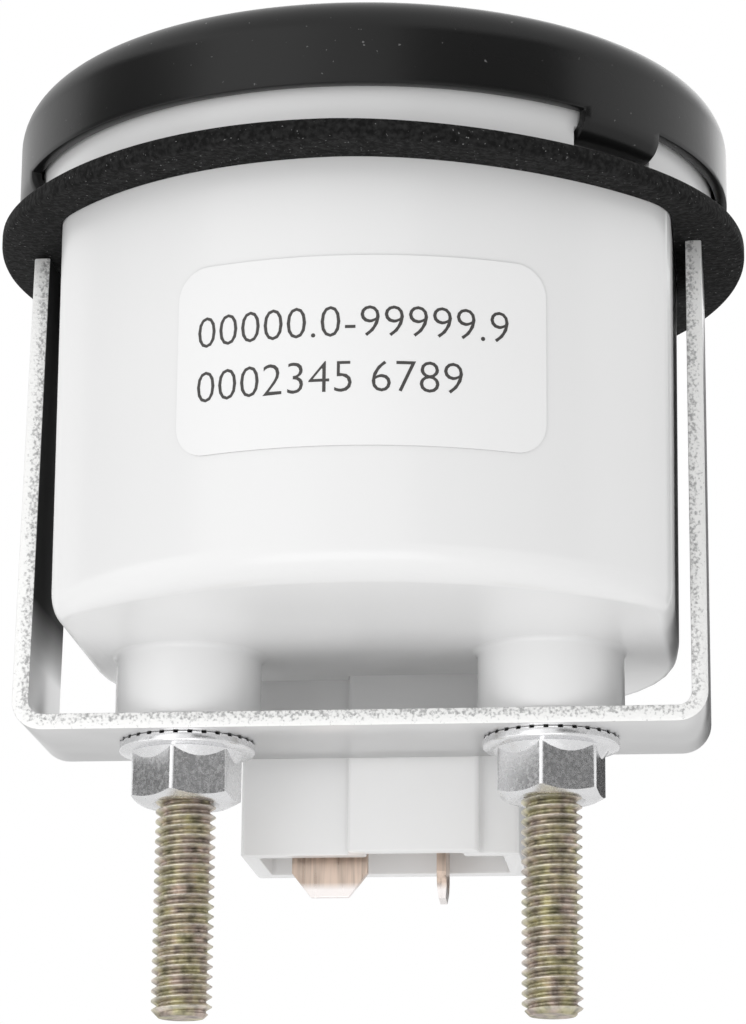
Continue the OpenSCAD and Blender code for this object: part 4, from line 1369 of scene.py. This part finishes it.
class HOURMETER_OT_number_bands(Operator):
    """Model the number band and the ten digits of each wheel"""

    bl_idname = "hour_meter.number_bands"
    bl_label = "Number bands"

    def execute(self, context):
        dial, ink = settings().dial, settings().label.ink
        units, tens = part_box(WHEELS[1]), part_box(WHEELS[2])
        pitch = units[1].x - tens[1].x
        first_x = (units[0].x + units[1].x) / 2 + pitch
        outer_r = WHEEL_R + dial.band_t
        for index, wheel in enumerate(WHEELS):
            middle_x = first_x - index * pitch
            section = [(WHEEL_R - dial.band_t, -dial.band_half_w), (outer_r, -dial.band_half_w)]
            section += [(outer_r, dial.band_half_w), (WHEEL_R - dial.band_t, dial.band_half_w)]
            band = turned(section, settings().small_steps * 2)
            band.transform(Matrix.Translation((middle_x, 0, WHEEL_Z)) @ Matrix.Rotation(math.pi / 2, 4, "Y"))
            digits = bmesh.new()
            for digit in range(10):
                shape = lettering(str(digit), dial.digit_h, ink)
                moved(shape, (0, -dial.digit_h / 2, ink / 2))
                sliced(shape, Y_AXIS, 0.4 * MM)
                angle = math.radians(90 - 36 * digit)

                def round_wheel(co, angle=angle):
                    turn = angle - co.y / outer_r
                    reach = outer_r + co.z
                    return Vector((middle_x + co.x, reach * math.cos(turn), WHEEL_Z + reach * math.sin(turn)))

                added(digits, reshaped(shape, round_wheel))
            name = wheel.replace("wheel_", "")
            pale = wheel == WHEELS[0]
            band_finish, ink_finish = ("wheel_white", "wheel_black") if pale else ("wheel_black", "dial_ink")
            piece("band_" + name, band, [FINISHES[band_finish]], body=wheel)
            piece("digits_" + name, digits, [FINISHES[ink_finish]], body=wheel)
        return {"FINISHED"}


class HOURMETER_OT_finish_solids(Operator):
    """Give every solid of the frame the finish of its material slot"""

    bl_idname = "hour_meter.finish_solids"
    bl_label = "Finish the solids"

    def execute(self, context):
        for part in frame["record"]["subparts"]:
            solid = frame["nodes"][part["node"]]
            solid.data.materials.clear()
            solid.data.materials.append(FINISHES[part["material_slot"]])
        return {"FINISHED"}


class HOURMETER_OT_stage(Operator):
    """Set up the floor, the white background, the lamps and the camera"""

    bl_idname = "hour_meter.stage"
    bl_label = "Stage"

    def execute(self, context):
        stage = settings().stage
        lay_floor(stage)
        light_world(stage)
        add_lamp("key", (-430, -420, 60), 800, stage.key_power)
        add_lamp("fill", (-20, -220, -290), 300, stage.fill_power)
        add_lamp("back", (120, 520, 240), 420, stage.back_power)
        dark_card("card_right", 600, (-75, -20), (20, 360))
        dark_card("card_left", 600, (-188, -140), (20, 360))
        dark_card("card_back", 150, (40, 89), (-40, 44))
        add_camera()
        bpy.context.scene.view_settings.view_transform = "Standard"
        return {"FINISHED"}


def lay_floor(stage):
    """Pale floor far below the meter."""
    bm = bmesh.new()
    bmesh.ops.create_grid(bm, x_segments=1, y_segments=1, size=stage.floor_half)
    bmesh.ops.translate(bm, verts=bm.verts, vec=(0, 0, stage.floor_z))
    paint = plastic("floor_paint", settings().colours.floor, 0.9, grain=300, spread=0.01)
    floor = mesh_object("floor", bm, [paint])


def light_world(stage):
    """White to the eye, to gloss and through glass, and a plain level of light elsewhere."""
    world = bpy.data.worlds.new("studio")
    bpy.context.scene.world = world
    world.use_nodes = True
    world.node_tree.nodes.clear()
    sky = Nodes(world.node_tree)
    rays = sky.add("ShaderNodeLightPath").outputs
    seen = rays["Is Camera Ray"]
    for ray in ("Is Glossy Ray", "Is Transmission Ray"):
        seen = sky.math("MAXIMUM", seen, rays[ray])
    lit = sky.add("ShaderNodeBackground", Color=(1, 1, 1, 1), Strength=stage.ambient)
    white = sky.add("ShaderNodeBackground", Color=(1, 1, 1, 1), Strength=1)
    mix = sky.add("ShaderNodeMixShader", I0=seen, I1=lit.outputs[0], I2=white.outputs[0])
    sky.add("ShaderNodeOutputWorld", Surface=mix.outputs[0])


def add_lamp(name, place, size, power):
    """Soft square lamp aimed at the meter, with its place and size in millimetres."""
    lamp = bpy.data.lights.new(name, "AREA")
    lamp.shape, lamp.size, lamp.energy = "SQUARE", size * MM, power
    holder = bpy.data.objects.new(name, lamp)
    holder.location = Vector(place) * MM
    aim = Vector((0, 0, -20 * MM)) - holder.location
    holder.rotation_euler = aim.to_track_quat("-Z", "Y").to_euler()
    bpy.context.scene.collection.objects.link(holder)


def dark_card(name, radius, directions, heights):
    """Bent dark card seen only in reflections, in millimetres and between two directions in degrees."""
    thickness = 5
    start, end = directions
    low, high = heights
    section = [(radius, low), (radius + thickness, low), (radius + thickness, high), (radius, high)]
    bm = turned([(r * MM, z * MM) for r, z in section], 24, end - start, (start + end) / 2)
    card = mesh_object(name, bm, [plastic("card_black", (0.02, 0.02, 0.02), 0.9, grain=300)])
    card.visible_camera = card.visible_diffuse = card.visible_shadow = card.visible_transmission = False


def add_camera():
    """Camera at the photograph's viewing angle, below the meter and a little to the right."""
    place = Vector((31.5, -281.9, -100.2)) * MM
    target = Vector((0, 0, -20)) * MM
    roll = math.radians(0.56)
    focal_px = 3601.8
    centre_offset_px = (-2.23, -8.51)
    sensor = 36.0
    data = bpy.data.cameras.new("camera")
    data.sensor_width = sensor
    data.lens = focal_px * sensor / IMAGE_HEIGHT
    data.shift_x = -centre_offset_px[0] / IMAGE_HEIGHT
    data.shift_y = centre_offset_px[1] / IMAGE_HEIGHT
    data.clip_start, data.clip_end = 0.01, 20
    forward = (target - place).normalized()
    right = forward.cross(Z_AXIS).normalized()
    up = right.cross(forward)
    rolled_right = math.cos(roll) * right + math.sin(roll) * up
    rolled_up = math.cos(roll) * up - math.sin(roll) * right
    turn = Matrix((rolled_right, rolled_up, -forward)).transposed().to_4x4()
    camera = bpy.data.objects.new("camera", data)
    camera.matrix_world = Matrix.Translation(place) @ turn
    bpy.context.scene.collection.objects.link(camera)
    bpy.context.scene.camera = camera


OPERATORS = [
    HOURMETER_OT_finish_solids,
    HOURMETER_OT_housing,
    HOURMETER_OT_bezel,
    HOURMETER_OT_lens,
    HOURMETER_OT_gasket,
    HOURMETER_OT_bracket,
    HOURMETER_OT_studs,
    HOURMETER_OT_nuts,
    HOURMETER_OT_blades,
    HOURMETER_OT_label,
    HOURMETER_OT_dial,
    HOURMETER_OT_number_bands,
    HOURMETER_OT_stage,
]


class HOURMETER_PT_pieces(Panel):
    """Lists the steps that build the meter"""

    bl_label = "Hour meter"
    bl_idname = "HOURMETER_PT_pieces"
    bl_space_type = "VIEW_3D"
    bl_region_type = "UI"
    bl_category = "Hour meter"

    def draw(self, context):
        for operator in OPERATORS:
            self.layout.operator(operator.bl_idname)


CLASSES = [
    MouldingSizes,
    BezelSizes,
    GasketSizes,
    ClampSizes,
    BladeSizes,
    LabelSizes,
    DialSizes,
    MeterColours,
    StageSizes,
    MeterSettings,
    *OPERATORS,
    HOURMETER_PT_pieces,
]


def register():
    for cls in CLASSES:
        bpy.utils.register_class(cls)
    bpy.types.Scene.hour_meter = PointerProperty(type=MeterSettings)


def unregister():
    del bpy.types.Scene.hour_meter
    for cls in reversed(CLASSES):
        bpy.utils.unregister_class(cls)


def main():
    register()
    FINISHES.update(finishes())
    for operator in OPERATORS:
        group, name = operator.bl_idname.split(".")
        getattr(getattr(bpy.ops, group), name)()


if __name__ == "__main__":
    main()
